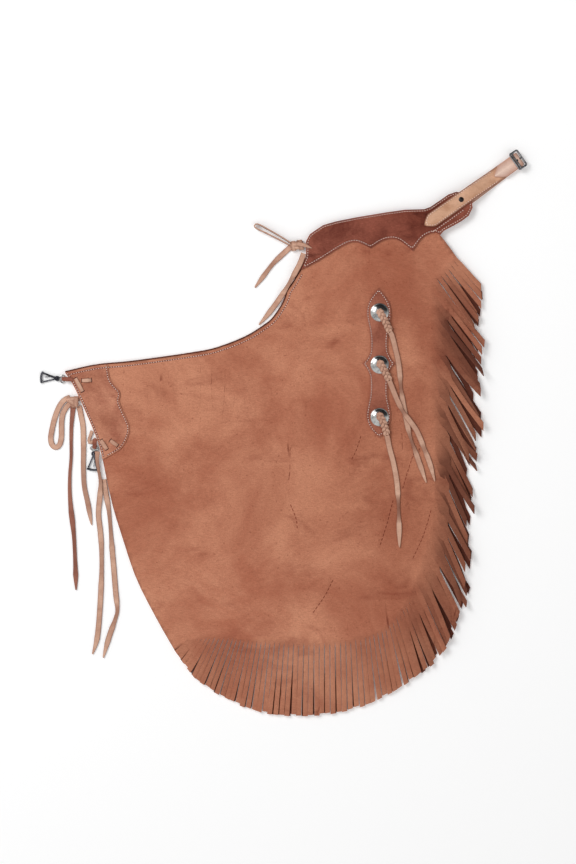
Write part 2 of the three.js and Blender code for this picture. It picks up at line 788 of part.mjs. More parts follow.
// Snap hooks: a body with a back arm, a curved nose and an eye, a sprung gate on a pin, and a
// leaf spring. Local +X runs from the pin to the nose; side is 1 where the gate lies on +Y.
const noseOuter = snapLength - 1;
const noseInner = noseOuter - snapBar;
const noseAngle = Math.asin(snapWidth / 2 / noseOuter);
const gateAngle = noseAngle - 0.05;
const gateBottom = (snapThickness - gateThickness) / 2;
const eyeReach = snapHub + eyeHole + 2.4;
const eyeWidth = laceWidth + 1.4;

function armBar(length, width, angle, bottom, thickness, x = 0, y = 0) {
  return new THREE.BoxGeometry(length, width, thickness)
    .translate(length / 2, 0, bottom + thickness / 2)
    .rotateZ(angle)
    .translate(x, y, 0);
}

function uprightPin(radius, thickness, sides) {
  return pin(radius, thickness, sides).rotateX(Math.PI / 2).translate(0, 0, snapThickness / 2);
}

function snapBody(side) {
  const nose = new THREE.Shape();
  nose.absarc(0, 0, noseOuter, -noseAngle, noseAngle, false);
  nose.absarc(0, 0, noseInner, noseAngle, -noseAngle, true);
  const noseSolid = new THREE.ExtrudeGeometry(nose, {
    depth: snapThickness,
    bevelEnabled: false,
    curveSegments: 8,
  });
  const backArm = armBar(noseOuter - 0.6, snapBar, side * (0.06 - noseAngle), 0, snapThickness);
  const leafDepth = snapThickness * 0.6;
  const leaf = armBar(16, leafThickness, side * 0.13, snapThickness * 0.2, leafDepth, 6.6, -3 * side);
  const half = eyeWidth / 2 + eyeBar;
  const far = -eyeReach - eyeBar;
  const near = -snapHub - 2.4;
  const eyeOutline = [
    [-snapHub, -3], [near, -half], [far, -half], [far, half], [near, half], [-snapHub, 3],
  ];
  const eye = plate(eyeOutline, eyeBottom, eyeThickness);
  const eyeMiddle = -eyeReach + eyeHole / 2;
  const eyeOpening = bar(eyeHole, eyeWidth, snapThickness * 2, eyeMiddle, 0, snapThickness / 2);
  const gateRoom = gateThickness + 2 * gap;
  const gateSlot = uprightPin(snapHub + 1.4, gateRoom, 16);
  const swingRoom = armBar(9, 7, side * (gateAngle - 0.14), gateBottom - gap, gateRoom);
  const hub = uprightPin(snapHub + 1, snapThickness, 16);
  const whole = union(hub, noseSolid, backArm, leaf, cut(eye, eyeOpening));
  return union(cut(whole, gateSlot, swingRoom), uprightPin(snapPin, snapThickness - 0.4, 12));
}

function snapGate(side) {
  const arm = armBar(noseInner - 0.5, gateWidth, side * gateAngle, gateBottom, gateThickness);
  const hub = uprightPin(snapHub, gateThickness, 14);
  return cut(union(hub, arm), uprightPin(snapPin + gap, snapThickness, 14));
}

// Thong through a snap's eye, its upper end rising onto the leather beside it
function snapHanger(rise, reach) {
  const upper = eyeBottom + eyeThickness + gap + hangerLeather / 2;
  const lower = eyeBottom - gap - hangerLeather / 2;
  const radius = (upper - lower) / 2;
  const bend = Array.from({ length: 7 }, (_, i) => {
    const angle = -Math.PI / 2 + (Math.PI * i) / 6;
    return [-eyeReach + radius * Math.cos(angle), (upper + lower) / 2 + radius * Math.sin(angle)];
  });
  const outside = -eyeReach - eyeBar;
  const high = onUpper + cornerLift + patchLeather + gap + hangerLeather / 2;
  const line = [
    [outside - 2.5, lower],
    ...bend,
    [outside - 0.5, upper],
    [outside - rise, high],
    [outside - reach, high],
  ];
  return strapBody(ribbonProfile(line, hangerLeather), hangerWidth);
}

const snaps = [
  { name: 'thigh_snap', at: [-0.0213, 0.6418], angle: 3.07, side: 1, rise: 5.2, reach: 14.5 },
  { name: 'knee_snap', at: [0.0675, 0.4985], angle: -1.66, side: -1, rise: 7, reach: 13 },
];
for (const { name, at, angle, side, rise, reach } of snaps) {
  const [x, y] = place(at);
  const seat = (geometry) => geometry.rotateZ(angle).translate(x, y, 0);
  add(`${name}_body`, seat(snapBody(side)), 'gunmetal');
  add(`${name}_gate`, seat(snapGate(side)), 'gunmetal');
  add(`${name}_hanger`, seat(snapHanger(rise, reach)), 'yoke');
}

// Lacing that shows on the corner patch, each band [from, to, width] in plan
const lacingBands = [
  { name: 'thigh_lacing_1', from: [0.0239, 0.6418], to: [0.0406, 0.6171], width: 7 },
  { name: 'thigh_lacing_2', from: [0.0395, 0.6375], to: [0.0615, 0.6385], width: 7 },
  { name: 'knee_lacing_1', from: [0.085, 0.524], to: [0.099, 0.507], width: 8 },
  { name: 'knee_lacing_2', from: [0.108, 0.5235], to: [0.125, 0.514], width: 7 },
];
for (const { name, from, to, width } of lacingBands) {
  const [ax, ay] = place(from);
  const [bx, by] = place(to);
  const reach = Math.hypot(bx - ax, by - ay);
  const nx = (-(by - ay) / reach) * (width / 2);
  const ny = ((bx - ax) / reach) * (width / 2);
  const outline = [[ax + nx, ay + ny], [ax - nx, ay - ny], [bx - nx, by - ny], [bx + nx, by + ny]];
  add(name, sheet(outline, onUpper + patchLeather + gap, laceThickness), 'lace');
}

// Knots of the ties: flat underneath, the ends of the laces under them
const laceUnderKnot = 2 * gap + laceThickness + 0.2;

function knot(at, rx, ry, height) {
  const [x, y] = place(at);
  const rounding = 2;
  const outline = new THREE.Shape();
  outline.absellipse(0, 0, rx - rounding, ry - rounding, 0, Math.PI * 2);
  return new THREE.ExtrudeGeometry(outline, {
    depth: height - 2 * rounding,
    bevelThickness: rounding,
    bevelSize: rounding,
    bevelSegments: 2,
    curveSegments: 8,
  }).translate(x, y, laceUnderKnot + rounding);
}

const waistKnotHeight = 10.1;
const waistKnotTop = laceUnderKnot + waistKnotHeight - 0.4;
add('waist_tie_knot', knot(waistKnot, 12.4, 8.6, waistKnotHeight), 'lace');
add('thigh_tie_knot', knot(thighKnot, 11, 9.5, 6.2), 'lace');

// Laces wrapped over the waist knot and braided over the conchos
const wrapRoute = [[1.1, 2.5, 1.8], [10.8, 0.8, 1.8], [17.8, -1.5, 0.2], [25.7, -4.9, -1.2]];
const [waistX, waistY] = place(waistKnot);
const wrapPoints = wrapRoute.map(([x, y, z]) => [waistX + x, waistY + y, waistKnotTop + z]);
add('waist_tie_wrap', lace(wrapPoints, 4, 7), 'lace');

const braidOnPatch = conchoBack + braidThickness / 2;
const braidOver = braidOnPatch + conchoHeight + gap;
braidRoutes.forEach((route, i) => {
  const [x, y] = place(conchoCentres[i]);
  const points = route.map(([dx, dy, rise]) => [
    x + dx * conchoDiameter,
    y + dy * conchoDiameter,
    braidOnPatch + rise * (braidOver - braidOnPatch),
  ]);
  add(`upper_braid_${i + 1}`, lace(points, 5, braidWidth, braidThickness), 'lace');
});

// Loose laces: centre lines in millimetres, each [x, y, z]. Those of the conchos start where
// a braid ends, and their first offset is from there.
const laces = {
  concho_lace_1: { steps: 10, braid: 0, leave: [3.9, -7.9, 14.6], points: [[196, 144.4, 13.2],
    [201.4, 118.2, 13.2], [205.7, 72.7, 13.2], [212.7, 30.7, 13.1], [220.6, -4.2, 12.7],
    [230.2, -32.2, 11.6], [240.7, -62, 10.4], [249.4, -86.4, 9.1]] },
  concho_lace_2: { steps: 9, braid: 1, leave: [2.9, -7, 15.9], points: [[193.4, 69.2, 15.8],
    [199.5, 55.2, 15.8], [208.3, 37.7, 16], [219.7, 22, 15.9], [232.8, 3.5, 13.2],
    [244.2, -23.5, 11.4], [255.6, -53.2, 10.2], [264.3, -84, 8.9]] },
  concho_lace_3: { steps: 8, braid: 2, leave: [1.9, -7.9, 14.6], points: [[185.7, -28.7, 12.9],
    [191.3, -49.7, 11.9], [196.9, -77.7, 10.7], [199.9, -107.4, 9.3], [201.8, -151.2, 8.1],
    [202.7, -199.6, 7.9]] },
  waist_tail_1: { steps: 4, points: [[14.6, 328, 1.5], [-3.6, 311.5, 1.5], [-20.2, 294.8, 1.5],
    [-36, 273.9, 1.5], [-50.2, 254.8, 1.5]] },
  waist_tail_2: { steps: 6, points: [[35.1, 314.1, 11.3], [28.8, 296.6, 11.2], [17.4, 275.6, 8.6],
    [3.4, 251.1, 7.8], [-13.2, 226.6, 2.4], [-30.7, 203.9, 1.5], [-43, 189.9, 1.5]] },
  thigh_bow: { steps: 16, points: [[-374.2, 62.6, 1.5], [-383.8, 58, 1.5], [-391.3, 49.1, 1.5],
    [-397.6, 36, 1.5], [-402.3, 21.1, 1.5], [-406, 4.5, 1.5], [-407.9, -9.5, 1.5],
    [-405.4, -20.8, 1.5], [-398.8, -25, 1.5], [-392.3, -20.2, 1.5], [-389.4, -8, 1.5],
    [-389, 6, 1.5], [-388.9, 20, 1.5], [-386.9, 33, 1.5], [-382.3, 42.5, 1.5],
    [-378.5, 47.6, 1.5]] },
  thigh_tail_1: { steps: 10, points: [[-368.3, 49, 1.5], [-371.4, 15.7, 1.5], [-372.2, -13, 1.5],
    [-372.2, -42.4, 1.5], [-374.3, -70.7, 1.5], [-374.7, -99.9, 1.5], [-372.8, -131.2, 1.5],
    [-369.8, -156.4, 1.5], [-367.3, -180.9, 1.5], [-365.6, -212.4, 1.5], [-364.4, -243.9, 1.5],
    [-363.5, -274.8, 1.5]] },
  thigh_tail_2: { steps: 7, points: [[-358.4, 47.6, 1.5], [-354, 27.2, 1.5], [-351.2, 9.8, 1.5],
    [-350.4, -27.9, 1.5], [-350.8, -60.2, 1.5], [-349, -93.4, 1.5], [-342.5, -124.9, 1.5],
    [-336.2, -160.8, 1.5]] },
  knee_tail_1: { steps: 12, points: [[-325.3, -32.2, 10.3], [-326, -48, 6.7], [-323.5, -65.5, 6.6],
    [-320.7, -82.9, 4.4], [-320.9, -102.2, 4.1], [-324.2, -140.7, 1.5], [-321.1, -172.2, 1.5],
    [-319, -202.9, 1.5], [-319, -249.1, 1.5], [-322.1, -312.1, 1.5], [-326.7, -359.3, 1.5],
    [-334.6, -387.3, 1.5]] },
  knee_tail_2: { steps: 10, points: [[-315.3, -81.2, 1.5], [-311.3, -105.7, 1.5], [-305.2, -143.6, 1.5],
    [-300.4, -202.9, 1.5], [-296.9, -243.9, 1.5], [-294, -280.6, 1.5], [-291.2, -308.6, 1.5],
    [-294.3, -324.3, 1.5], [-306.4, -359.3, 1.5], [-315.8, -393.6, 1.5]] },
};
const laceFromBraid = 0.9;

function leaving(braid, [dx, dy, height]) {
  const [x, y] = place(conchoCentres[braid]);
  const [before, end] = braidRoutes[braid].slice(-2);
  const run = Math.hypot(end[0] - before[0], end[1] - before[1]);
  const [endX, endY] = [x + end[0] * conchoDiameter, y + end[1] * conchoDiameter];
  const [stepX, stepY] = [(end[0] - before[0]) / run, (end[1] - before[1]) / run];
  const start = [endX + stepX * laceFromBraid, endY + stepY * laceFromBraid, braidOnPatch];
  return [start, [endX + dx, endY + dy, height]];
}

for (const [name, { points, steps, braid, leave }] of Object.entries(laces)) {
  const start = leave ? leaving(braid, leave) : [];
  add(name, lace([...start, ...points], steps), 'lace');
}

// The waist bow stands on its edge, as its loop is seen
const waistBow = [[11.8, 333, 7.7], [-6.6, 344.7, 7.7], [-27.2, 356.4, 7.7], [-43.9, 365.3, 7.7],
  [-50.4, 364.1, 7.7], [-48.8, 358.9, 7.7], [-30.7, 349.9, 7.7], [-9.7, 339.4, 7.7], [10, 329, 7.7]];
add('waist_bow', lace(waistBow, 10, laceThickness, laceWidth), 'lace');

const edgeLoop = [[-335.4, 4, 3], [-339.2, -7, 1.6], [-340.8, -13.6, 1.3], [-338, -17.4, 1.3],
  [-328.6, -9.6, 2.4]];
add('corner_lace_loop', lace(edgeLoop, 5, 5), 'lace');

export default chinks;
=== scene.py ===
import math
import random

import bmesh
import bpy
from mathutils import Matrix, Vector, noise


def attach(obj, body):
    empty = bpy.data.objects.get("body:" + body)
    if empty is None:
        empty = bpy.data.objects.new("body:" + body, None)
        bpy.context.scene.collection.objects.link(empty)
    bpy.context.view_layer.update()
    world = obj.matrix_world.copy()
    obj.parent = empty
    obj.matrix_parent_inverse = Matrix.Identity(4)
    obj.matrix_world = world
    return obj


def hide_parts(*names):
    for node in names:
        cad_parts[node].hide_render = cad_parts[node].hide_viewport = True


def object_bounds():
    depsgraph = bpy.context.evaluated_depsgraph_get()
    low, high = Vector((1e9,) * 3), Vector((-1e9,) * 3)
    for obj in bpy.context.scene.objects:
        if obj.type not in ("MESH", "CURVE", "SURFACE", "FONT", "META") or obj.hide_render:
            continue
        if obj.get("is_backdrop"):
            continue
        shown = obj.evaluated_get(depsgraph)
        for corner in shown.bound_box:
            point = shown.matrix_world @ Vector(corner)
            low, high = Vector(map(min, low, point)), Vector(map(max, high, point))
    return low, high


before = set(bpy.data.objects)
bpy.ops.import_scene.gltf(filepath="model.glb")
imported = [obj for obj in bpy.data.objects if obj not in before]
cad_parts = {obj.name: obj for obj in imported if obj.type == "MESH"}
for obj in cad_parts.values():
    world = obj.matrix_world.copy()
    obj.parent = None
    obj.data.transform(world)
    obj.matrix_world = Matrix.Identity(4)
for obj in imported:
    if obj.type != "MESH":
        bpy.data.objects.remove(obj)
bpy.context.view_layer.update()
scene = bpy.context.scene
print("frame loaded:", len(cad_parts), "nodes")

# Sizes as cut, in metres
cut = {
    "legWidth": 0.725,
    "legLength": 0.92,
    "centreShare": (0.5255, 0.5378),
    "legLeather": 0.0022,
    "yokeLeather": 0.0022,
    "patchLeather": 0.0018,
    "strapLeather": 0.0026,
    "strapWidth": 0.0254,
    "laceWidth": 0.0095,
    "laceThickness": 0.002,
    "fringeWidth": 0.01,
    "clearance": 0.0003,
}

# Camera straight above, as the photograph was taken
camera = {"middle": (0.0078, 0.0019), "fieldHeight": 1.512, "lens": 85, "sensor": 36, "focusHeight": 0.006}
cameraData = bpy.data.cameras.new("camera")
cameraData.lens = camera["lens"]
cameraData.sensor_width = camera["sensor"]
cameraData.clip_end = 20
cameraObject = bpy.data.objects.new("camera", cameraData)
cameraHeight = camera["fieldHeight"] / camera["sensor"] * camera["lens"]
cameraObject.location = (*camera["middle"], cameraHeight + camera["focusHeight"])
scene.collection.objects.link(cameraObject)
scene.camera = cameraObject


# Drape: how high the underside of the lower leg lies over the floor, in millimetres
drape = {
    "columns": (-0.40274, -0.25991, -0.14174, -0.01849, 0.02936, 0.13014, 0.20336, 0.27514, 0.36576),
    "rows": (-0.51318, -0.12678, -0.05502, -0.01638, 0.12714, 0.26146, 0.34242, 0.44362),
    "heights": (
        (0.0, 0.0, 0.0, 0.0, 0.0, 0.0, 0.0, 0.0, 0.0),
        (0.0, 0.0, 0.0, 0.0, 0.3, 2.0, 2.0, 1.1, 0.0),
        (2.1, 2.1, 0.0, 0.1, 2.1, 5.3, 5.3, 3.3, 0.0),
        (2.1, 2.1, 0.0, 0.3, 2.5, 7.0, 7.0, 3.8, 0.0),
        (2.1, 2.1, 0.0, 0.3, 2.5, 7.0, 7.0, 3.8, 0.0),
        (0.0, 0.0, 0.0, 0.3, 2.5, 7.0, 7.0, 3.8, 1.8),
        (0.0, 0.0, 0.0, 0.3, 2.5, 3.4, 5.4, 5.4, 5.4),
        (0.0, 0.0, 0.0, 0.0, 0.0, 2.5, 2.5, 5.4, 5.4),
    ),
    "ripple": 0.0017,
    # where fittings hold the leather flat: centre and how far that reaches
    "flat": (
        (0.168, 0.211, 0.07), (0.168, 0.12, 0.07), (0.168, 0.028, 0.07), (0.26, 0.37, 0.1), (0.33, 0.42, 0.1),
        (-0.345, 0.03, 0.1), (0.03, 0.325, 0.05),
    ),
}


def cellOf(marks, value):
    cell = max(k for k in range(len(marks) - 1) if k == 0 or marks[k] <= value)
    share = min(max((value - marks[cell]) / (marks[cell + 1] - marks[cell]), 0), 1)
    return cell, share * share * (3 - 2 * share)


def underLower(x, y):
    i, u = cellOf(drape["columns"], x)
    j, v = cellOf(drape["rows"], y)
    near, far = drape["heights"][j], drape["heights"][j + 1]
    low = near[i] * (1 - u) + near[i + 1] * u
    high = far[i] * (1 - u) + far[i + 1] * u
    return (low * (1 - v) + high * v) * 0.001


# The upper leg isn't quite flat: slow waves, a little of them at a time
def ripple(x, y):
    slow = noise.noise(Vector((x * 4.1, y * 3.3, 1.7)))
    quick = noise.noise(Vector((x * 10.5, y * 8.5, 4.1)))
    held = 1.0
    for flatX, flatY, reach in drape["flat"]:
        away = min(max((math.hypot(x - flatX, y - flatY) / reach - 0.5) / 0.8, 0), 1)
        held *= away * away * (3 - 2 * away)
    return drape["ripple"] * max(0, slow * 1.5 + quick * 0.7 + 0.45) * held


layerUpper = cut["legLeather"] + cut["clearance"]
layerTop = layerUpper + cut["legLeather"]
layerOn = layerTop + cut["clearance"]


def underUpper(x, y):
    return underLower(x, y) + layerUpper + ripple(x, y)


def onUpper(x, y):
    return underLower(x, y) + layerOn + ripple(x, y)


def place(u, v):
    return Vector((
        (u - cut["centreShare"][0]) * cut["legWidth"],
        (v - cut["centreShare"][1]) * cut["legLength"],
    ))


def throughPoints(points, share):
    spot = (len(points) - 1) * min(max(share, 0), 1)
    i = min(int(spot), len(points) - 2)
    t = spot - i
    a, b, c, d = (points[min(max(k, 0), len(points) - 1)] for k in (i - 1, i, i + 1, i + 2))
    leave, arrive = (c - a) * 0.5, (d - b) * 0.5
    return (b * 2 - c * 2 + leave + arrive) * t**3 + (c * 3 - b * 3 - leave * 2 - arrive) * t**2 + leave * t + b


def curveOf(table, steps):
    points = [place(*row) for row in table]
    return [throughPoints(points, k / steps) for k in range(steps + 1)]


def joinRuns(*runs):
    joined = list(runs[0])
    for run in runs[1:]:
        joined += run[1:]
    return joined


def evenly(points, pitch, closed=False):
    walk = list(points) + ([points[0]] if closed else [])
    lengths = [(b - a).length for a, b in zip(walk, walk[1:])]
    total = sum(lengths)
    count = max(1, round(total / pitch))
    spots, i, gone = [], 0, 0.0
    for k in range(count + (0 if closed else 1)):
        at = total * k / count
        while i < len(lengths) - 1 and gone + lengths[i] < at:
            gone += lengths[i]
            i += 1
        spots.append(walk[i].lerp(walk[i + 1], min(1, (at - gone) / max(lengths[i], 1e-9))))
    return spots


def insetPath(points, distance, closed=False):
    kept = []
    for k, point in enumerate(points):
        before = points[k - 1] if k or closed else point
        after = points[(k + 1) % len(points)] if k < len(points) - 1 or closed else point
        a, b = (point - before), (after - point)
        a = a.normalized() if a.length > 1e-9 else b.normalized()
        b = b.normalized() if b.length > 1e-9 else a
        normal = Vector((-(a.y + b.y), a.x + b.x)).normalized()
        stretch = max(0.45, normal.dot(Vector((-a.y, a.x))))
        kept.append(point + normal * (distance / stretch))
    return kept


# A seam's line beside an edge: the inset without the crossed ends that sharp corners give it
def seamLine(points, distance, closed=False):
    walk = list(points) + ([points[0]] if closed else [])

    def isClear(spot):
        for a, b in zip(walk, walk[1:]):
            run = b - a
            share = min(max((spot - a).dot(run) / max(run.length_squared, 1e-12), 0), 1)
            if (spot - a - run * share).length < abs(distance) * 0.96:
                return False
        return True

    return [spot for spot in insetPath(points, distance, closed) if isClear(spot)]


def lengthOf(points):
    return sum((b - a).length for a, b in zip(points, points[1:]))


# Soft patches where the leather is drawn darker (up to 1) or lighter (down to -1): middle, reach, amount
tones = {
    "leg": (
        (0.262, -0.14, 0.13, 0.6), (0.285, 0.04, 0.10, 0.5), (0.25, 0.2, 0.09, 0.25), (0.204, -0.31, 0.09, 0.35),
        (-0.216, -0.257, 0.10, -0.5), (-0.27, -0.08, 0.10, -0.4), (0.02, -0.15, 0.08, 0.3), (0.12, -0.08, 0.07, 0.25),
        (0.08, 0.19, 0.06, 0.2), (-0.13, 0.02, 0.06, 0.2), (-0.05, 0.07, 0.06, -0.2), (0.1, -0.25, 0.07, -0.15),
        (-0.09, -0.27, 0.1, -0.9), (0.03, -0.45, 0.13, -0.9), (-0.12, -0.4, 0.08, -0.4),
        (0.33, 0.25, 0.05, -0.3),
    ),
    "yoke": ((0.235, 0.37, 0.05, 0.9), (0.16, 0.345, 0.03, 0.4), (0.30, 0.40, 0.04, 0.35), (0.08, 0.33, 0.03, -0.2)),
    "corner_patch": ((-0.335, 0.09, 0.02, 0.5), (-0.31, 0.02, 0.02, 0.6), (-0.3, 0.06, 0.02, -0.4)),
    "concho_patch": (),
}


def toneAt(x, y, marks):
    total = 0.0
    for middleX, middleY, reach, amount in marks:
        total += amount * math.exp(-((x - middleX) ** 2 + (y - middleY) ** 2) / reach**2)
    return max(-1, min(1, total))


# Materials
def colour(red, green, blue):
    def linear(value):
        value /= 255
        return value / 12.92 if value <= 0.04045 else ((value + 0.055) / 1.055) ** 2.4
    return (linear(red), linear(green), linear(blue), 1)


def blankMaterial(name):
    material = bpy.data.materials.new(name)
    material.use_nodes = True
    nodes, links = material.node_tree.nodes, material.node_tree.links
    shader = nodes["Principled BSDF"]
    return material, nodes, links, shader


def noiseNode(nodes, links, vector, scale, detail=4, roughness=0.55, distortion=0.0):
    node = nodes.new("ShaderNodeTexNoise")
    node.inputs["Scale"].default_value = scale
    node.inputs["Detail"].default_value = detail
    node.inputs["Roughness"].default_value = roughness
    node.inputs["Distortion"].default_value = distortion
    links.new(vector, node.inputs["Vector"])
    return node.outputs["Fac"]


def rampNode(nodes, links, value, low, high):
    node = nodes.new("ShaderNodeMapRange")
    node.interpolation_type = "SMOOTHSTEP"
    node.inputs["From Min"].default_value = low
    node.inputs["From Max"].default_value = high
    links.new(value, node.inputs["Value"])
    return node.outputs["Result"]


def mixNode(nodes, links, share, first, second, blend="MIX"):
    node = nodes.new("ShaderNodeMix")
    node.data_type = "RGBA"
    node.blend_type = blend
    for socket, value in ((node.inputs["Factor"], share), (node.inputs[6], first), (node.inputs[7], second)):
        if isinstance(value, bpy.types.NodeSocket):
            links.new(value, socket)
        else:
            socket.default_value = value
    return node.outputs[2]


def mathNode(nodes, links, operation, first, second):
    node = nodes.new("ShaderNodeMath")
    node.operation = operation
    for socket, value in zip(node.inputs, (first, second)):
        if isinstance(value, bpy.types.NodeSocket):
            links.new(value, socket)
        else:
            socket.default_value = value
    return node.outputs[0]


def turnedVector(nodes, links, vector, angle, scale):
    node = nodes.new("ShaderNodeMapping")
    node.inputs["Rotation"].default_value = (0, 0, math.radians(angle))
    node.inputs["Scale"].default_value = scale
    links.new(vector, node.inputs["Vector"])
    return node.outputs["Vector"]


def leather(name, look):
    material, nodes, links, shader = blankMaterial(name)
    place3 = nodes.new("ShaderNodeTexCoord").outputs["Object"]
    cloud = noiseNode(nodes, links, place3, look["cloudScale"], 6, 0.62, 0.4)
    tint = mixNode(nodes, links, rampNode(nodes, links, cloud, 0.3, 0.7), look["dark"], look["light"])
    # patches where the hide took more dye
    stain = noiseNode(nodes, links, turnedVector(nodes, links, place3, 28, (1, 2.1, 1)), look["stainScale"], 5, 0.6, 0.8)
    stainShare = mathNode(nodes, links, "MULTIPLY", rampNode(nodes, links, stain, 0.54, 0.78), look["stain"])
    tint = mixNode(nodes, links, stainShare, tint, look["stainColour"])
    # nap brushed one way, and fine grain
    nap = noiseNode(nodes, links, turnedVector(nodes, links, place3, 62, (1, 3.2, 1)), look["napScale"], 6, 0.7)
    napTint = mixNode(nodes, links, rampNode(nodes, links, nap, 0.28, 0.72), (0.80, 0.77, 0.75, 1), (1.12, 1.12, 1.11, 1))
    tint = mixNode(nodes, links, look["nap"], tint, napTint, "MULTIPLY")
    grain = noiseNode(nodes, links, place3, look["grainScale"], 3, 0.6)
    grainTint = mixNode(nodes, links, rampNode(nodes, links, grain, 0.3, 0.7), (0.84, 0.8, 0.78, 1), (1.1, 1.1, 1.1, 1))
    tint = mixNode(nodes, links, look["grain"], tint, grainTint, "MULTIPLY")
    # pores and scars of the hide
    pores = noiseNode(nodes, links, place3, look["poreScale"], 2, 0.5)
    poreShare = mathNode(nodes, links, "MULTIPLY", rampNode(nodes, links, pores, 0.66, 0.74), look["pores"])
    tint = mixNode(nodes, links, poreShare, tint, look["scarColour"])
    scarShare = None
    if look["scars"]:
        along = turnedVector(nodes, links, place3, look["scarAngle"], (1, 0.075, 1))
        line = noiseNode(nodes, links, along, look["scarScale"], 2, 0.5, 0.25)
        ridge = mathNode(nodes, links, "ABSOLUTE", mathNode(nodes, links, "SUBTRACT", line, 0.5), 0)
        thin = rampNode(nodes, links, ridge, 0.012, 0.002)
        where = rampNode(nodes, links, noiseNode(nodes, links, place3, 7.5, 2, 0.5), 0.56, 0.66)
        broken = rampNode(nodes, links, noiseNode(nodes, links, place3, 95, 2, 0.5), 0.42, 0.6)
        scarShare = mathNode(nodes, links, "MULTIPLY", mathNode(nodes, links, "MULTIPLY", thin, where), broken)
        scarShare = mathNode(nodes, links, "MULTIPLY", scarShare, look["scars"])
        tint = mixNode(nodes, links, scarShare, tint, look["scarColour"])
    # cut edges drawn darker, partly their own colour and partly painted edge shade, and painted shade on twisted fringe
    # strips and where laces turn on edge
    edgeAndShade = nodes.new("ShaderNodeAttribute")
    edgeAndShade.attribute_name = "edgeAndShade"
    edgeAndShadeShare = mathNode(nodes, links, "MULTIPLY", edgeAndShade.outputs["Fac"], look["edgeAndShade"])
    tint = mixNode(nodes, links, edgeAndShadeShare, tint, look["edgeAndShadeColour"])
    tone = nodes.new("ShaderNodeAttribute")
    tone.attribute_name = "tone"
    darker = mathNode(nodes, links, "MAXIMUM", tone.outputs["Fac"], 0.0)
    paler = mathNode(nodes, links, "MAXIMUM", mathNode(nodes, links, "MULTIPLY", tone.outputs["Fac"], -1.0), 0.0)
    tint = mixNode(nodes, links, darker, tint, look["toneDark"], "MULTIPLY")
    tint = mixNode(nodes, links, paler, tint, look["tonePale"], "MULTIPLY")
    links.new(tint, shader.inputs["Base Color"])
    shader.inputs["Roughness"].default_value = look["roughness"]
    shader.inputs["Sheen Weight"].default_value = look["sheen"]
    shader.inputs["Sheen Roughness"].default_value = 0.5
    shader.inputs["Specular IOR Level"].default_value = look["specular"]
    height = mathNode(nodes, links, "ADD", mathNode(nodes, links, "MULTIPLY", grain, 0.6), mathNode(nodes, links, "MULTIPLY", nap, 0.9))
    if scarShare:
        height = mathNode(nodes, links, "SUBTRACT", height, mathNode(nodes, links, "MULTIPLY", scarShare, 0.5))
    bump = nodes.new("ShaderNodeBump")
    bump.inputs["Strength"].default_value = look["bump"]
    bump.inputs["Distance"].default_value = 0.0006
    links.new(height, bump.inputs["Height"])
    links.new(bump.outputs["Normal"], shader.inputs["Normal"])
    return material


legLook = {
    "light": colour(208, 144, 114), "dark": colour(168, 100, 76), "cloudScale": 5.5,
    "stainColour": colour(140, 72, 54), "stain": 0.6, "stainScale": 9,
    "nap": 0.65, "napScale": 150, "grain": 0.7, "grainScale": 620,
    "pores": 0.4, "poreScale": 210, "scars": 0.8, "scarColour": colour(118, 56, 40), "scarAngle": -24, "scarScale": 34,
    # edge strength and colour: cut edges darker, partly painted edge shade; also painted shade on fringe strips and
    # turned laces
    "edgeAndShade": 0.9, "edgeAndShadeColour": colour(86, 46, 35), "roughness": 0.9, "sheen": 0.05, "specular": 0.15, "bump": 0.7,
    "toneDark": (0.72, 0.6, 0.56, 1), "tonePale": (1.12, 1.18, 1.2, 1),
}
yokeLook = {
    **legLook, "light": colour(160, 94, 77), "dark": colour(112, 56, 44), "cloudScale": 17,
    "stainColour": colour(84, 36, 28), "stain": 0.85, "stainScale": 24, "nap": 0.9, "napScale": 190, "grain": 0.9,
    "scars": 0, "edgeAndShade": 0.5, "edgeAndShadeColour": colour(96, 48, 38), "roughness": 0.95, "sheen": 0.1, "bump": 0.9,
}
patchLook = {
    **legLook, "light": colour(204, 142, 114), "dark": colour(162, 98, 78), "cloudScale": 14, "stain": 0.8,
    "stainScale": 20, "scars": 0, "edgeAndShade": 0.5,
}
conchoPatchLook = {
    **legLook, "light": colour(176, 112, 90), "dark": colour(142, 82, 65), "cloudScale": 14, "stain": 0.5, "scars": 0,
    "edgeAndShade": 0.5,
}
# the lower leg's upper face, lying under the upper leg: dark colour painted as its shade
shadedInsideLook = {**legLook, "light": colour(112, 64, 49), "dark": colour(84, 44, 34), "stain": 0.6}
strapLook = {
    **legLook, "light": colour(220, 174, 144), "dark": colour(188, 138, 106), "cloudScale": 22, "stain": 0.4,
    "stainColour": colour(158, 104, 74), "stainScale": 30, "nap": 0.3, "grain": 0.35, "scars": 0, "pores": 0.25,
    "edgeAndShade": 0.75, "edgeAndShadeColour": colour(122, 72, 54), "roughness": 0.6, "sheen": 0, "specular": 0.35, "bump": 0.25,
}
billetLook = {
    **strapLook, "light": colour(244, 218, 204), "dark": colour(226, 192, 174), "stain": 0.2,
    "edgeAndShadeColour": colour(176, 124, 102),
}
laceLook = {
    **strapLook, "light": colour(216, 174, 150), "dark": colour(188, 142, 120), "cloudScale": 26, "stain": 0.5,
    "stainColour": colour(152, 94, 72), "stainScale": 19, "edgeAndShade": 0.85, "edgeAndShadeColour": colour(122, 72, 54),
    "roughness": 0.7, "bump": 0.4,
}
thongLook = {**laceLook, "light": colour(176, 106, 84), "dark": colour(134, 74, 58)}
darkLaceLook = {**laceLook, "light": colour(170, 112, 92), "dark": colour(138, 82, 66)}

leathers = {
    "leg": leather("oiled split leather", legLook),
    "shadedInside": leather("inner side of the leather in painted shade", shadedInsideLook),
    "yoke": leather("rough-out yoke leather", yokeLook),
    "patch": leather("patch leather", patchLook),
    "conchoPatch": leather("concho patch leather", conchoPatchLook),
    "strap": leather("strap leather", strapLook),
    "billet": leather("pale billet leather", billetLook),
    "lace": leather("lace leather", laceLook),
    "thong": leather("dark thong leather", thongLook),
    "darkLace": leather("brown lace leather", darkLaceLook),
}
print("leathers made")


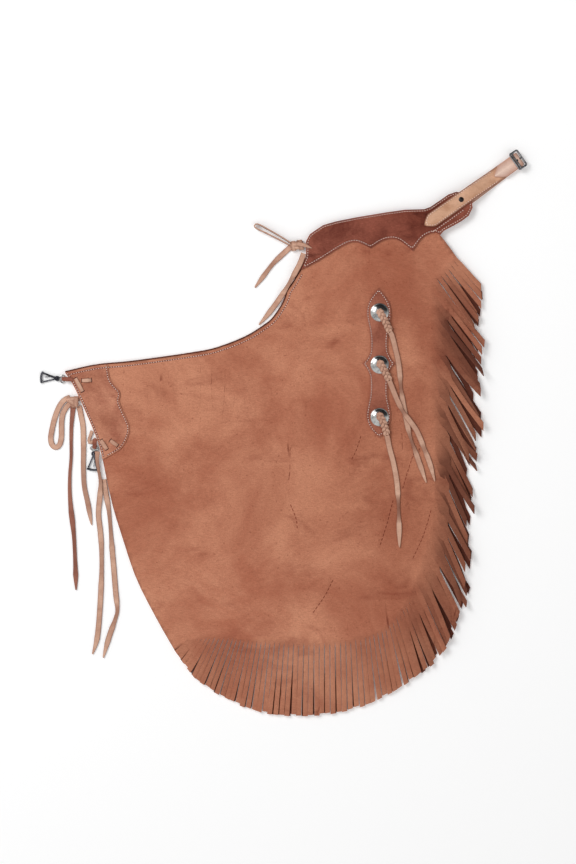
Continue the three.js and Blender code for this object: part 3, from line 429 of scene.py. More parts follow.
# Shared ways of making leather and lace
def makePiece(name, bm, material, body="chaps", replaces=(), sharp=38):
    bmesh.ops.recalc_face_normals(bm, faces=bm.faces[:])
    mesh = bpy.data.meshes.new(name)
    bm.to_mesh(mesh)
    bm.free()
    mesh.polygons.foreach_set("use_smooth", [True] * len(mesh.polygons))
    mesh.set_sharp_from_angle(angle=math.radians(sharp))
    for one in material if isinstance(material, (list, tuple)) else [material]:
        mesh.materials.append(one)
    piece = bpy.data.objects.new(name, mesh)
    scene.collection.objects.link(piece)
    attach(piece, body)
    if replaces:
        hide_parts(*replaces)
    return piece


def cutFlat(outline, step, edge=0):
    bm = bmesh.new()
    # boundary verts marked for darker edges: their own colour, with painted edge shade
    edgeAndShade = bm.verts.layers.float.new("edgeAndShade")
    corners = [bm.verts.new((p.x, p.y, 0)) for p in outline]
    whole = bm.faces.new(corners)
    for vert in corners:
        vert[edgeAndShade] = 1.0
    if edge:
        bmesh.ops.inset_individual(bm, faces=[whole], thickness=edge, use_even_offset=False)
        for vert in bm.verts:
            vert[edgeAndShade] = 1.0 if vert.is_boundary else 0.0
    for axis in (0, 1):
        marks = [p[axis] for p in outline]
        at = math.ceil(min(marks) / step) * step
        while at < max(marks):
            where = [0, 0, 0]
            where[axis] = at
            facing = [0, 0, 0]
            facing[axis] = 1
            parts = bm.verts[:] + bm.edges[:] + bm.faces[:]
            bmesh.ops.bisect_plane(bm, geom=parts, dist=2e-5, plane_co=where, plane_no=facing)
            at += step
    return bm


def markEdgeAndShade(bm, strength=1.0):
    # boundary verts darkened: the cut edge's own colour, with painted edge shade
    edgeAndShade = bm.verts.layers.float.get("edgeAndShade") or bm.verts.layers.float.new("edgeAndShade")
    for vert in bm.verts:
        vert[edgeAndShade] = strength if vert.is_boundary else 0.0
    return edgeAndShade


def thicken(bm, thickness, rounding):
    bmesh.ops.recalc_face_normals(bm, faces=bm.faces[:])
    if sum(face.normal.z * face.calc_area() for face in bm.faces) > 0:
        bmesh.ops.reverse_faces(bm, faces=bm.faces[:])
    bmesh.ops.solidify(bm, geom=bm.faces[:], thickness=thickness)
    bmesh.ops.recalc_face_normals(bm, faces=bm.faces[:])
    if rounding:
        edges = [e for e in bm.edges if e.is_manifold and e.calc_face_angle(0) > 1.1]
        bmesh.ops.bevel(
            bm, geom=edges, affect="EDGES", offset=rounding, offset_type="OFFSET",
            segments=2, profile=0.5, material=-1, clamp_overlap=True,
        )


def layOn(bm, height):
    for vert in bm.verts:
        vert.co.z = height(vert.co.x, vert.co.y)


def sweep(bm, path, section, across=None, closed=False, capped=True, shade=None):
    # section(share) gives [across, up] offsets round the path, and a roll in radians; shade paints shade on a stretch,
    # and the edges are drawn darker, partly as painted edge shade
    edgeAndShade = bm.verts.layers.float.get("edgeAndShade") or bm.verts.layers.float.new("edgeAndShade")
    ring, edges = None, None

    def markRing(share):
        reach = max(abs(a) for a, _ in offsets)
        # painted shade on stretches where the lace turns on edge
        paintedShade = shade(share) if shade else 0
        for vert, (a, _) in zip(ring, offsets):
            vert[edgeAndShade] = max(paintedShade, min(max((abs(a) / reach - 0.72) / 0.28, 0), 1))

    count = len(path)
    lastAcross = None
    for k, point in enumerate(path):
        before = path[k - 1] if k or closed else point
        after = path[(k + 1) % count] if k < count - 1 or closed else point
        tangent = (after - before).normalized()
        side = across.copy() if across else Vector((0, 0, 1)).cross(tangent)
        if side.length < 1e-4:
            side = lastAcross.copy()
        side = (side - tangent * side.dot(tangent)).normalized()
        lastAcross = side
        up = tangent.cross(side)
        offsets, roll = section(k / max(1, count - 1))
        turned = Matrix.Rotation(roll, 3, tangent)
        spots = [point + turned @ (side * a + up * b) for a, b in offsets]
        if ring is None:
            ring = [bm.verts.new(spot) for spot in spots]
            edges = [bm.edges.new((ring[i], ring[(i + 1) % len(ring)])) for i in range(len(ring))]
            firstEdges = edges
            markRing(0)
            continue
        grown = bmesh.ops.extrude_edge_only(bm, edges=edges)
        edges = [g for g in grown["geom"] if isinstance(g, bmesh.types.BMEdge)]
        fresh = [g for g in grown["geom"] if isinstance(g, bmesh.types.BMVert)]
        follow = {}
        for old in ring:
            follow[old] = min(fresh, key=lambda v: (v.co - old.co).length_squared)
        ring = [follow[old] for old in ring]
        for vert, spot in zip(ring, spots):
            vert.co = spot
        markRing(k / max(1, count - 1))
        edges = [bm.edges.get((ring[i], ring[(i + 1) % len(ring)])) for i in range(len(ring))]
    if closed:
        bmesh.ops.bridge_loops(bm, edges=firstEdges + edges)
    elif capped:
        bmesh.ops.contextual_create(bm, geom=firstEdges)
        bmesh.ops.contextual_create(bm, geom=edges)
    return bm


def flatSection(width, thickness):
    w, t = width / 2, thickness / 2
    c = min(w, t) * 0.55
    return [
        (-w, t - c), (-w + c, t), (-w * 0.68, t * 1.02), (w * 0.68, t * 1.02), (w - c, t), (w, t - c),
        (w, -t + c), (w - c, -t), (0, -t), (-w + c, -t), (-w, -t + c),
    ]


def roundSection(width, thickness, sides=12):
    return [
        (math.cos(math.tau * k / sides) * width / 2, math.sin(math.tau * k / sides) * thickness / 2)
        for k in range(sides)
    ]


def routeOf(points, pitch):
    marks = [Vector(p) for p in points]
    fine = [throughPoints(marks, k / (len(marks) * 12)) for k in range(len(marks) * 12 + 1)]
    return evenly(fine, pitch)


# The legs: outlines as shares of the leg's width and length
legCut = {
    "crotch": (
        (0.568, 0.848), (0.551, 0.825), (0.536, 0.808), (0.527, 0.787), (0.502, 0.757), (0.478, 0.741),
        (0.432, 0.719), (0.362, 0.698), (0.304, 0.689), (0.227, 0.68), (0.15, 0.672), (0.072, 0.666),
        (-0.002, 0.653),
    ),
    "thigh": ((-0.002, 0.653), (0.017, 0.631), (0.046, 0.582), (0.077, 0.523), (0.089, 0.488)),
    "shin": ((0.089, 0.488), (0.111, 0.405), (0.138, 0.335), (0.171, 0.259), (0.22, 0.183), (0.262, 0.125)),
    "waist": (
        (0.568, 0.848), (0.58, 0.875), (0.58, 0.903), (0.589, 0.916), (0.621, 0.933), (0.652, 0.94),
        (0.703, 0.948), (0.773, 0.957), (0.819, 0.962), (0.865, 0.963), (0.879, 0.967), (0.901, 0.979),
        (0.923, 0.991), (0.942, 0.996), (0.961, 0.993), (0.978, 0.981), (0.981, 0.966), (0.972, 0.951),
        (0.957, 0.942), (0.935, 0.932), (0.913, 0.923), (0.903, 0.914),
    ),
    "back": ((0.903, 0.914), (0.923, 0.894), (0.941, 0.874)),
    "grid": 0.008,
    "edgeRound": 0.0004,
}

# Fringe rows from the back round the bottom to the shin: the end of a cut and the tip beside it
fringeCut = {
    "rows": (
        (0.941, 0.874, 1.0, 0.826), (0.92, 0.85, 1.003, 0.768), (0.886, 0.827, 0.995, 0.707),
        (0.884, 0.734, 0.993, 0.597), (0.886, 0.639, 0.988, 0.5), (0.889, 0.544, 0.973, 0.413),
        (0.889, 0.449, 0.978, 0.316), (0.889, 0.376, 0.971, 0.251), (0.865, 0.302, 0.942, 0.179),
        (0.85, 0.262, 0.92, 0.135), (0.826, 0.221, 0.886, 0.101), (0.8, 0.19, 0.843, 0.074),
        (0.768, 0.165, 0.797, 0.049), (0.722, 0.15, 0.734, 0.024), (0.674, 0.143, 0.679, 0.01),
        (0.614, 0.139, 0.614, 0.002), (0.551, 0.139, 0.543, 0.0), (0.493, 0.143, 0.473, 0.006),
        (0.444, 0.144, 0.411, 0.024), (0.401, 0.148, 0.355, 0.048), (0.362, 0.15, 0.314, 0.07),
        (0.329, 0.148, 0.285, 0.099), (0.295, 0.143, 0.262, 0.125),
    ),
    # bunches of strips: from and to as shares of the fringe, how far the tips close up, length
    "bunches": (
        (0.0, 0.032, 0.08, 1.02), (0.032, 0.066, 0.3, 0.92), (0.066, 0.105, 0.26, 1.04),
        (0.105, 0.142, 0.3, 0.97), (0.142, 0.178, 0.22, 1.04), (0.178, 0.222, 0.26, 0.95),
        (0.222, 0.262, 0.18, 1.05), (0.262, 0.312, 0.2, 0.97), (0.312, 0.36, 0.1, 1.02),
    ),
    "slit": 0.0014,
    "uneven": 0.014,
    "steps": 14,
    # how unruly the strips are along the fringe: share, sideways bend, lift, twist in degrees
    "upperUnruly": (
        (0.0, 0.001, 0.0012, 3), (0.035, 0.003, 0.003, 10), (0.06, 0.010, 0.010, 50), (0.20, 0.012, 0.012, 70),
        (0.33, 0.010, 0.010, 60), (0.42, 0.006, 0.006, 30), (0.50, 0.0022, 0.002, 8), (0.60, 0.0012, 0.001, 3),
        (0.86, 0.0014, 0.001, 3), (0.90, 0.003, 0.004, 12), (0.95, 0.002, 0.002, 6), (1.0, 0.001, 0.001, 3),
    ),
    "lowerUnruly": (
        (0.0, 0.001, 0.0003, 1), (0.05, 0.008, 0.0006, 4), (0.4, 0.008, 0.0006, 4), (0.55, 0.002, 0.0003, 1),
        (1.0, 0.002, 0.0003, 1),
    ),
}


def fringeStrips():
    rows = [(place(a, b), place(c, d)) for a, b, c, d in fringeCut["rows"]]
    along = [0.0]
    for (_, tipBefore), (root, tip) in zip(rows, rows[1:]):
        step, run = tip - tipBefore, tip - root
        along.append(along[-1] + abs(step.x * run.y - step.y * run.x) / run.length)
    count = round(along[-1] / cut["fringeWidth"])

    def at(share):
        s = min(max(share, 0), 1) * along[-1]
        i = next((k for k in range(1, len(rows) - 1) if along[k] >= s), len(rows) - 1)
        t = (s - along[i - 1]) / (along[i] - along[i - 1])
        return rows[i - 1][0].lerp(rows[i][0], t), rows[i - 1][1].lerp(rows[i][1], t)

    def cutEnd(i):
        root, tip = at(i / count)
        return root.lerp(tip, fringeCut["uneven"] * ((i % 2) + 0.4 * math.sin(i * 3.7)))

    strips = []
    for i in range(count):
        share = (i + 0.5) / count
        middle, close, reach = share, 0, 1
        for start, end, closing, longer in fringeCut["bunches"]:
            if start <= share <= end:
                middle = (start + end) / 2 + (share - (start + end) / 2) * (1 - closing)
                close, reach = closing, longer
                break
        half = (0.5 / count) * (1 - close)
        rootA, rootB = cutEnd(i), cutEnd(i + 1)
        endA, endB = at(middle - half)[1], at(middle + half)[1]
        trim = reach * (1 + 0.012 * math.sin(i * 2.4) + 0.01 * math.sin(i * 5.1))
        strips.append({
            "share": share, "rootA": rootA, "rootB": rootB,
            "tipA": rootA.lerp(endA, trim), "tipB": rootB.lerp(endB, trim),
            "hideA": at(share - 0.5 / count)[1], "hideB": at(share + 0.5 / count)[1],
        })
    return strips


strips = fringeStrips()
fringeBase = [strips[0]["rootA"]] + [s["rootB"] for s in strips]

yokeCut = {
    "scallops": (
        ((0.903, 0.914), (0.891, 0.919), (0.87, 0.914), (0.855, 0.904), (0.837, 0.884)),
        ((0.837, 0.884), (0.821, 0.894), (0.804, 0.904), (0.786, 0.907), (0.763, 0.903), (0.735, 0.889)),
        (
            (0.735, 0.889), (0.713, 0.898), (0.698, 0.901), (0.68, 0.898), (0.652, 0.886), (0.61, 0.865),
            (0.568, 0.848),
        ),
    ),
}
cornerCut = {
    "top": ((-0.002, 0.653), (0.072, 0.666), (0.101, 0.668)),
    "edge": (
        ((0.101, 0.668), (0.103, 0.656), (0.109, 0.637), (0.129, 0.619)),
        (
            (0.129, 0.619), (0.132, 0.61), (0.129, 0.598), (0.138, 0.579), (0.15, 0.559), (0.154, 0.544),
            (0.147, 0.525), (0.133, 0.508), (0.109, 0.496), (0.089, 0.488),
        ),
    ),
}
conchoPatchCut = {
    "sides": (
        (
            (0.755, 0.813), (0.739, 0.799), (0.727, 0.781), (0.725, 0.759), (0.732, 0.734), (0.735, 0.71),
            (0.732, 0.686), (0.715, 0.67),
        ),
        (
            (0.715, 0.67), (0.731, 0.652), (0.734, 0.627), (0.732, 0.605), (0.725, 0.578), (0.727, 0.558),
            (0.739, 0.541), (0.756, 0.529),
        ),
        (
            (0.756, 0.529), (0.771, 0.54), (0.782, 0.557), (0.784, 0.578), (0.777, 0.604), (0.776, 0.627),
            (0.779, 0.652), (0.794, 0.67),
        ),
        (
            (0.794, 0.67), (0.779, 0.688), (0.776, 0.71), (0.779, 0.734), (0.785, 0.757), (0.783, 0.78),
            (0.771, 0.798), (0.755, 0.813),
        ),
    ),
    "conchos": ((0.757, 0.767), (0.757, 0.668), (0.757, 0.568)),
}

yokeOutline = joinRuns([place(*row) for row in legCut["waist"]], *(curveOf(run, 12) for run in yokeCut["scallops"]))[:-1]
cornerOutline = joinRuns(
    curveOf(cornerCut["top"], 6), *(curveOf(run, 14) for run in cornerCut["edge"]), curveOf(legCut["thigh"], 10)[::-1],
)[:-1]
conchoOutline = joinRuns(*(curveOf(run, 12) for run in conchoPatchCut["sides"]))[:-1]
legOutline = (
    curveOf(legCut["crotch"], 40) + curveOf(legCut["thigh"], 10)[1:] + curveOf(legCut["shin"], 14)[1:] + fringeBase[::-1]
    + curveOf(legCut["back"], 3)[::-1][1:] + [place(*row) for row in legCut["waist"]][::-1][1:-1]
)


def isInside(outline, x, y):
    within = False
    for a, b in zip(outline, outline[1:] + outline[:1]):
        if (a.y > y) != (b.y > y) and x < a.x + (b.x - a.x) * (y - a.y) / (b.y - a.y):
            within = not within
    return within


# Height of whatever lies uppermost on the upper leg
def restOn(x, y):
    if not isInside(legOutline, x, y):
        return 0
    height = onUpper(x, y)
    if isInside(conchoOutline, x, y) or isInside(cornerOutline, x, y):
        height += cut["patchLeather"]
    if isInside(yokeOutline, x, y):
        height += cut["yokeLeather"]
    return height


# Loose laces: the routes of their middle lines, in metres
laces = {
    "concho_lace_1": {"material": "lace", "onLeg": True, "turns": ((0.36, 0.06, 0.4, 0.8), (0.72, 0.08, 0.45, 0.9)), "points": [
        (0.186, 0.176, 0.0165), (0.1896, 0.1689, 0.0146), (0.196, 0.1444, 0.0132), (0.2014, 0.1182, 0.0132), (0.2057, 0.0727, 0.0132),
        (0.2127, 0.0307, 0.0131), (0.2206, -0.0042, 0.0127), (0.2302, -0.0322, 0.0116), (0.2407, -0.062, 0.0104),
        (0.2494, -0.0864, 0.0091),
    ]},
    "concho_lace_2": {"material": "lace", "onLeg": True, "turns": ((0.3, 0.05, 0.35, 0.7), (0.7, 0.05, 0.2, 0.6)), "points": [
        (0.1847, 0.0912, 0.0165), (0.1872, 0.085, 0.0159), (0.1934, 0.0692, 0.0158), (0.1995, 0.0552, 0.0158), (0.2083, 0.0377, 0.016),
        (0.2197, 0.022, 0.0159), (0.2328, 0.0035, 0.0132), (0.2442, -0.0235, 0.0114), (0.2556, -0.0532, 0.0102),
        (0.2643, -0.084, 0.0089),
    ]},
    "concho_lace_3": {"material": "lace", "onLeg": True, "turns": ((0.66, 0.13, 0.45, 1.0),), "points": [
        (0.1803, -0.0043, 0.0165), (0.182, -0.0113, 0.0146), (0.1857, -0.0287, 0.0129), (0.1913, -0.0497, 0.0119), (0.1969, -0.0777, 0.0107),
        (0.1999, -0.1074, 0.0093), (0.2018, -0.1512, 0.0081), (0.2027, -0.1996, 0.0079),
    ]},
    "waist_tail_1": {"material": "lace", "turns": ((0.55, 0.2, 0.2, 0.4),), "points": [
        (0.0146, 0.328, 0.0015), (-0.0036, 0.3115, 0.0015), (-0.0202, 0.2948, 0.0015), (-0.036, 0.2739, 0.0015),
        (-0.0502, 0.2548, 0.0015),
    ]},
    "waist_tail_2": {"material": "lace", "onLeg": True, "turns": ((0.4, 0.12, 0.3, 0.5),), "points": [
        (0.0351, 0.3141, 0.0113), (0.0288, 0.2966, 0.0112), (0.0174, 0.2756, 0.0086), (0.0034, 0.2511, 0.0078),
        (-0.0132, 0.2266, 0.0024), (-0.0307, 0.2039, 0.0015), (-0.043, 0.1899, 0.0015),
    ]},
    "thigh_bow": {"material": "lace", "ends": "object", "points": [
        (-0.3742, 0.0626, 0.0015), (-0.3838, 0.058, 0.0015), (-0.3913, 0.0491, 0.0015), (-0.3976, 0.036, 0.0015),
        (-0.4023, 0.0211, 0.0015), (-0.406, 0.0045, 0.0015), (-0.4079, -0.0095, 0.0015), (-0.4054, -0.0208, 0.0015),
        (-0.3988, -0.025, 0.0015), (-0.3923, -0.0202, 0.0015), (-0.3894, -0.008, 0.0015), (-0.389, 0.006, 0.0015),
        (-0.3889, 0.02, 0.0015), (-0.3869, 0.033, 0.0015), (-0.3823, 0.0425, 0.0015), (-0.3785, 0.0476, 0.0015),
        (-0.374, 0.052, 0.0015),
    ]},
    "thigh_tail_1": {"material": "darkLace", "turns": ((0.3, 0.28, 0.4, 0.5), (0.78, 0.14, 0.3, 0.6)), "points": [
        (-0.3683, 0.049, 0.0015), (-0.3714, 0.0157, 0.0015), (-0.3722, -0.013, 0.0015), (-0.3722, -0.0424, 0.0015),
        (-0.3743, -0.0707, 0.0015), (-0.3747, -0.0999, 0.0015), (-0.3728, -0.1312, 0.0015), (-0.3698, -0.1564, 0.0015),
        (-0.3673, -0.1809, 0.0015), (-0.3656, -0.2124, 0.0015), (-0.3644, -0.2439, 0.0015), (-0.3635, -0.2748, 0.0015),
    ]},
    "thigh_tail_2": {"material": "lace", "turns": ((0.62, 0.3, 0.1, 0.5),), "points": [
        (-0.3584, 0.0476, 0.0015), (-0.354, 0.0272, 0.0015), (-0.3512, 0.0098, 0.0015), (-0.3504, -0.0279, 0.0015),
        (-0.3508, -0.0602, 0.0015), (-0.349, -0.0934, 0.0015), (-0.3425, -0.1249, 0.0015), (-0.3362, -0.1608, 0.0015),
    ]},
    "knee_tail_1": {"material": "lace", "turns": ((0.1, 0.1, 0.42, 0.7), (0.55, 0.1, 0.2, 0.4)), "points": [
        (-0.3253, -0.0322, 0.0103), (-0.326, -0.048, 0.0067), (-0.3235, -0.0655, 0.0066), (-0.3207, -0.0829, 0.0044),
        (-0.3209, -0.1022, 0.0041), (-0.3242, -0.1407, 0.0015), (-0.3211, -0.1722, 0.0015), (-0.319, -0.2029, 0.0015),
        (-0.319, -0.2491, 0.0015), (-0.3221, -0.3121, 0.0015), (-0.3267, -0.3593, 0.0015), (-0.3346, -0.3873, 0.0015),
    ]},
    "knee_tail_2": {"material": "lace", "turns": ((0.25, 0.12, 0.3, 0.6), (0.75, 0.07, 0.3, 0.5)), "points": [
        (-0.3153, -0.0812, 0.0015), (-0.3113, -0.1057, 0.0015), (-0.3052, -0.1436, 0.0015), (-0.3004, -0.2029, 0.0015),
        (-0.2969, -0.2439, 0.0015), (-0.294, -0.2806, 0.0015), (-0.2912, -0.3086, 0.0015), (-0.2943, -0.3243, 0.0015),
        (-0.3064, -0.3593, 0.0015), (-0.3158, -0.3936, 0.0015),
    ]},
    "waist_bow": {"material": "lace", "ends": "object", "onEdge": True, "points": [
        (0.0118, 0.333, 0.0077), (-0.0066, 0.3447, 0.0077), (-0.0272, 0.3564, 0.0077), (-0.0439, 0.3653, 0.0077),
        (-0.0504, 0.3641, 0.0077), (-0.0488, 0.3589, 0.0077), (-0.0307, 0.3499, 0.0077), (-0.0097, 0.3394, 0.0077),
        (0.01, 0.329, 0.0077),
    ]},
    "corner_lace_loop": {"material": "lace", "ends": "object", "width": 0.0058, "points": [
        (-0.3354, 0.004, 0.003), (-0.3392, -0.007, 0.0016), (-0.3408, -0.0136, 0.0013), (-0.338, -0.0174, 0.0013),
        (-0.3286, -0.0096, 0.0024),
    ]},
}
laceMake = {"pitch": 0.0035, "point": 0.028, "roll": 0.10, "seed": 5}


def makeLace(name, lace):
    width = lace.get("width", cut["laceWidth"])
    path = routeOf(lace["points"], laceMake["pitch"])
    length = lengthOf(path)
    loop = lace.get("ends") == "object"
    onEdge = lace.get("onEdge", False)
    seed = laceMake["seed"] + len(name) * 3.1 + lace["points"][0][0] * 40

    # where the lace turns on edge it looks narrower, and the browner colour painted there is shade
    def turnAt(share, part):
        return max((
            turn[part] * max(0, 1 - ((share - turn[0]) / turn[1]) ** 2) ** 0.7 if abs(share - turn[0]) < turn[1] else 0
            for turn in lace.get("turns", ())
        ), default=0)

    lifted = []
    for k, point in enumerate(path):
        if lace.get("onLeg"):
            point.z = max(point.z, restOn(point.x, point.y) + cut["laceThickness"] / 2 + 0.0002)
        roll = laceMake["roll"] * noise.noise(Vector((k * 0.11, seed, 0)))
        # a rolled lace rests on its lower edge
        lifted.append(point + Vector((0, 0, abs(math.sin(roll)) * width / 2 * (0 if onEdge else 1))))

    def section(share):
        left = (1 - share) * length
        narrow = 1 if loop else min(1, 0.22 + 0.78 * (left / laceMake["point"]) ** 0.8)
        narrow *= 1 - turnAt(share, 2)
        size = (cut["laceThickness"], width) if onEdge else (width * narrow, cut["laceThickness"])
        roll = laceMake["roll"] * noise.noise(Vector((share * (len(path) - 1) * 0.11, seed, 0)))
        return flatSection(*size), 0 if onEdge else roll

    bm = bmesh.new()
    sweep(bm, lifted, section, shade=lambda share: turnAt(share, 3))
    piece = makePiece(name + "_dressed", bm, leathers[lace["material"]], replaces=[name])
    return piece


for laceName, laceFacts in laces.items():
    makeLace(laceName, laceFacts)
print("loose laces laid:", len(laces))


def unrulyAt(table, share):
    for before, after in zip(table, table[1:]):
        if share <= after[0]:
            t = (share - before[0]) / (after[0] - before[0])
            return [a + (b - a) * t for a, b in zip(before[1:], after[1:])]
    return table[-1][1:]


def makeLeg(name, under, unruly, seed, material, node, lean):
    # the outline runs clockwise: crotch, thigh, shin, fringe base back to the waist
    crotch = insetPath(curveOf(legCut["crotch"], 40), -lean)
    outline = joinRuns(
        crotch, [crotch[-1]] + curveOf(legCut["thigh"], 10)[1:], curveOf(legCut["shin"], 14),
        [curveOf(legCut["shin"], 1)[-1]] + fringeBase[::-1][0:],
    )
    outline += curveOf(legCut["back"], 3)[::-1][1:-1] + [place(*row) for row in legCut["waist"]][::-1][:-1]
    clean = []
    for point in outline:
        if not clean or (point - clean[-1]).length > 2e-4:
            clean.append(point)
    bm = cutFlat(clean, legCut["grid"])
    across = bm.verts.layers.float.new("across")
    tone = bm.verts.layers.float.new("tone")
    edgeAndShade = markEdgeAndShade(bm, 0.45)
    rootEdges = {}
    for edge in bm.edges:
        if not edge.is_boundary:
            continue
        middle = (edge.verts[0].co + edge.verts[1].co).xy / 2
        for number, strip in enumerate(strips):
            a, b = strip["rootA"], strip["rootB"]
            if (middle - a).length > 0.03:
                continue
            run = b - a
            share = (middle - a).dot(run) / run.length_squared
            if -0.01 < share < 1.01 and (middle - a - run * share).length < 1e-4:
                rootEdges.setdefault(number, []).append(edge)
                break
    for vert in bm.verts:
        vert[tone] = toneAt(vert.co.x, vert.co.y, tones["leg"])
    layOn(bm, under)
    chance = random.Random(seed)
    for number, strip in enumerate(strips):
        a, b = strip["rootA"], strip["rootB"]
        bend, lift, twist = unrulyAt(unruly, strip["share"])
        bend *= chance.uniform(-1, 1)
        lift *= chance.uniform(0.0, 1)
        # painted shade on the fringe: the more a strip twists, the darker it may be painted
        shadow = min(1, twist / 55) * chance.uniform(0.2, 1)
        twist = math.radians(twist) * chance.uniform(-1, 1)
        wave = chance.uniform(0, math.tau)
        edges = rootEdges.get(number, [])
        for vert in {v for edge in edges for v in edge.verts}:
            vert[across] = (vert.co.xy - a).dot(b - a) / (b - a).length_squared
            # strip roots painted a little darker: shade between the strips
            vert[edgeAndShade] = 0.14
        root, tip = (a + b) / 2, (strip["tipA"] + strip["tipB"]) / 2
        rootWidth, tipWidth = (b - a).length, (strip["tipB"] - strip["tipA"]).length
        run = (tip - root).normalized()
        side = Vector((-run.y, run.x))
        side *= 1 if side.dot(b - a) > 0 else -1
        rootSide = (b - a).normalized()
        # the tips follow the hide's own edge
        tipEdge = strip["hideB"] - strip["hideA"]
        tipSlant = max(-1.5, min(1.5, tipEdge.dot(run) / max(abs(tipEdge.dot(side)), 1e-6)))
        width = min(tipWidth, cut["fringeWidth"]) - fringeCut["slit"]
        for k in range(1, fringeCut["steps"] + 1):
            t = k / fringeCut["steps"]
            grown = bmesh.ops.extrude_edge_only(bm, edges=edges)
            edges = [g for g in grown["geom"] if isinstance(g, bmesh.types.BMEdge)]
            sway = bend * (t * t + 0.22 * math.sin(t * 5 + wave) * t)
            spot = root.lerp(tip, t) + side * sway
            turn = twist * t * t
            facing = rootSide.lerp(side, min(1, t * 3)).normalized()
            room = rootWidth * (1 - t) + tipWidth * t - fringeCut["slit"]
            room = min(room, width) if t > 0.3 else room
            for vert in (g for g in grown["geom"] if isinstance(g, bmesh.types.BMVert)):
                off = (vert[across] - 0.5) * room
                slant = off * tipSlant * max(0, (t - 0.82) / 0.18)
                vert.co.xy = spot + facing * (off * math.cos(turn)) + run * slant
                rise = lift * t**1.4 + abs(math.sin(turn)) * room / 2
                vert.co.z = under(vert.co.x, vert.co.y) + rise + off * math.sin(turn)
                # painted shade, growing from the root along each twisted strip
                vert[edgeAndShade] = 0.14 + 0.8 * shadow * min(1, t * 3.5)
    thicken(bm, cut["legLeather"], legCut["edgeRound"])
    area = sum(f.calc_area() for f in bm.faces if f.normal.z > 0.3)
    piece = makePiece(name, bm, material, replaces=[node])
    # the lower leg's upward faces take the second, darker material: painted shade under the upper leg
    if len(piece.data.materials) > 1:
        for face in piece.data.polygons:
            face.material_index = 1 if face.normal.z > 0.3 else 0
    return piece, area


lowerLeg, lowerArea = makeLeg(
    "lower_leg_dressed", underLower, fringeCut["lowerUnruly"], 3, [leathers["leg"], leathers["shadedInside"]], "lower_leg", 0.0025,
)
upperLeg, upperArea = makeLeg(
    "upper_leg_dressed", underUpper, fringeCut["upperUnruly"], 12, leathers["leg"], "upper_leg", 0,
)
print("legs cut:", len(strips), "strips each,", round(upperArea, 3), "and", round(lowerArea, 3), "square metres")


# Height of the upper face of the topmost leather on the upper leg
def faceOf(x, y):
    patched = isInside(conchoOutline, x, y) or isInside(cornerOutline, x, y)
    if isInside(yokeOutline, x, y):
        return onUpper(x, y) + cut["yokeLeather"]
    return onUpper(x, y) + (cut["patchLeather"] if patched else -cut["clearance"])


# Yokes and patches sewn onto the legs; those of the lower leg hang under it
overlays = {
    "grid": 0.006,
    "edge": 0.0012,
    "edgeRound": 0.0004,
    "pieces": (
        ("yoke", yokeOutline, "yokeLeather", "yoke", "yoke_leather"),
        ("corner_patch", cornerOutline, "patchLeather", "patch", "patch_leather"),
        ("concho_patch", conchoOutline, "patchLeather", "conchoPatch", "concho_patch_leather"),
    ),
}


def makeOverlay(node, outline, height, thickness, material):
    bm = cutFlat(outline, overlays["grid"], overlays["edge"])
    tone = bm.verts.layers.float.new("tone")
    for vert in bm.verts:
        vert[tone] = toneAt(vert.co.x, vert.co.y, tones[node.split("_", 1)[1]])
    layOn(bm, height)
    thicken(bm, thickness, overlays["edgeRound"])
    return makePiece(node + "_dressed", bm, material, replaces=[node])


for overlayName, overlayOutline, leatherKey, overlayLeather, overlaySlot in overlays["pieces"]:
    wall = cut[leatherKey]
    makeOverlay("upper_" + overlayName, overlayOutline, onUpper, wall, leathers[overlayLeather])
    makeOverlay(
        "lower_" + overlayName, overlayOutline,
        lambda x, y, wall=wall: max(0, underLower(x, y) - cut["clearance"] - wall),
        wall, leathers[overlayLeather],
    )
print("yokes and patches sewn on")


# Buckle strap, billet and buckle in the strap's own frame: along it from the centre bar, across, up
strapFrame = {"origin": (0.41, 0.4777), "angle": 35.06, "length": 0.2002}
strapPlace = Matrix.Translation((*strapFrame["origin"], 0)) @ Matrix.Rotation(
    math.radians(strapFrame["angle"]), 4, "Z",
)
buckleStrap = {
    "line": (
        (-0.2002, 0.0142), (-0.106, 0.0142), (-0.091, 0.0125), (-0.062, 0.0058), (-0.048, 0.0042),
        (-0.012, 0.0042), (-0.006, 0.0046), (-0.0021, 0.0055),
    ),
    "point": 0.015,
    "stitchInset": 0.0026,
    "stitchFrom": -0.196,
    "stitchTo": -0.05,
}
billet = {
    "line": ((-0.15, 0.0013), (-0.12, 0.0013), (-0.08, 0.0013), (-0.04, 0.0013), (-0.012, 0.0013), (-0.003, 0.0013)),
    "turnRadius": 0.0042,
    "barHeight": 0.0055,
    "tip": ((-0.009, 0.0087), (-0.022, 0.0077), (-0.036, 0.0073), (-0.05, 0.0071)),
    "point": 0.017,
    # the billet lies a little askew under the strap
    "askew": 0.034,
    "holeAlong": -0.0015,
}


def strapHalf(distance, point, width):
    # a pointed end with rounded shoulders
    if distance >= point:
        return width / 2
    return width / 2 * max(0.035, min(1, (distance / point) ** 0.72))


def ribbonPath(line, pitch, tipAt=None):
    marks = [Vector((a, 0, h)) for a, h in line]
    fine = [throughPoints(marks, k / (len(marks) * 16)) for k in range(len(marks) * 16 + 1)]
    path = evenly(fine, pitch)
    if tipAt is not None:
        end = path[tipAt]
        near = path[1] if tipAt == 0 else path[-2]
        extra = [end.lerp(near, share) for share in ((0.2, 0.45, 0.7) if tipAt == 0 else (0.7, 0.45, 0.2))]
        path = [end] + extra + path[1:] if tipAt == 0 else path[:-1] + extra + [end]
    return path


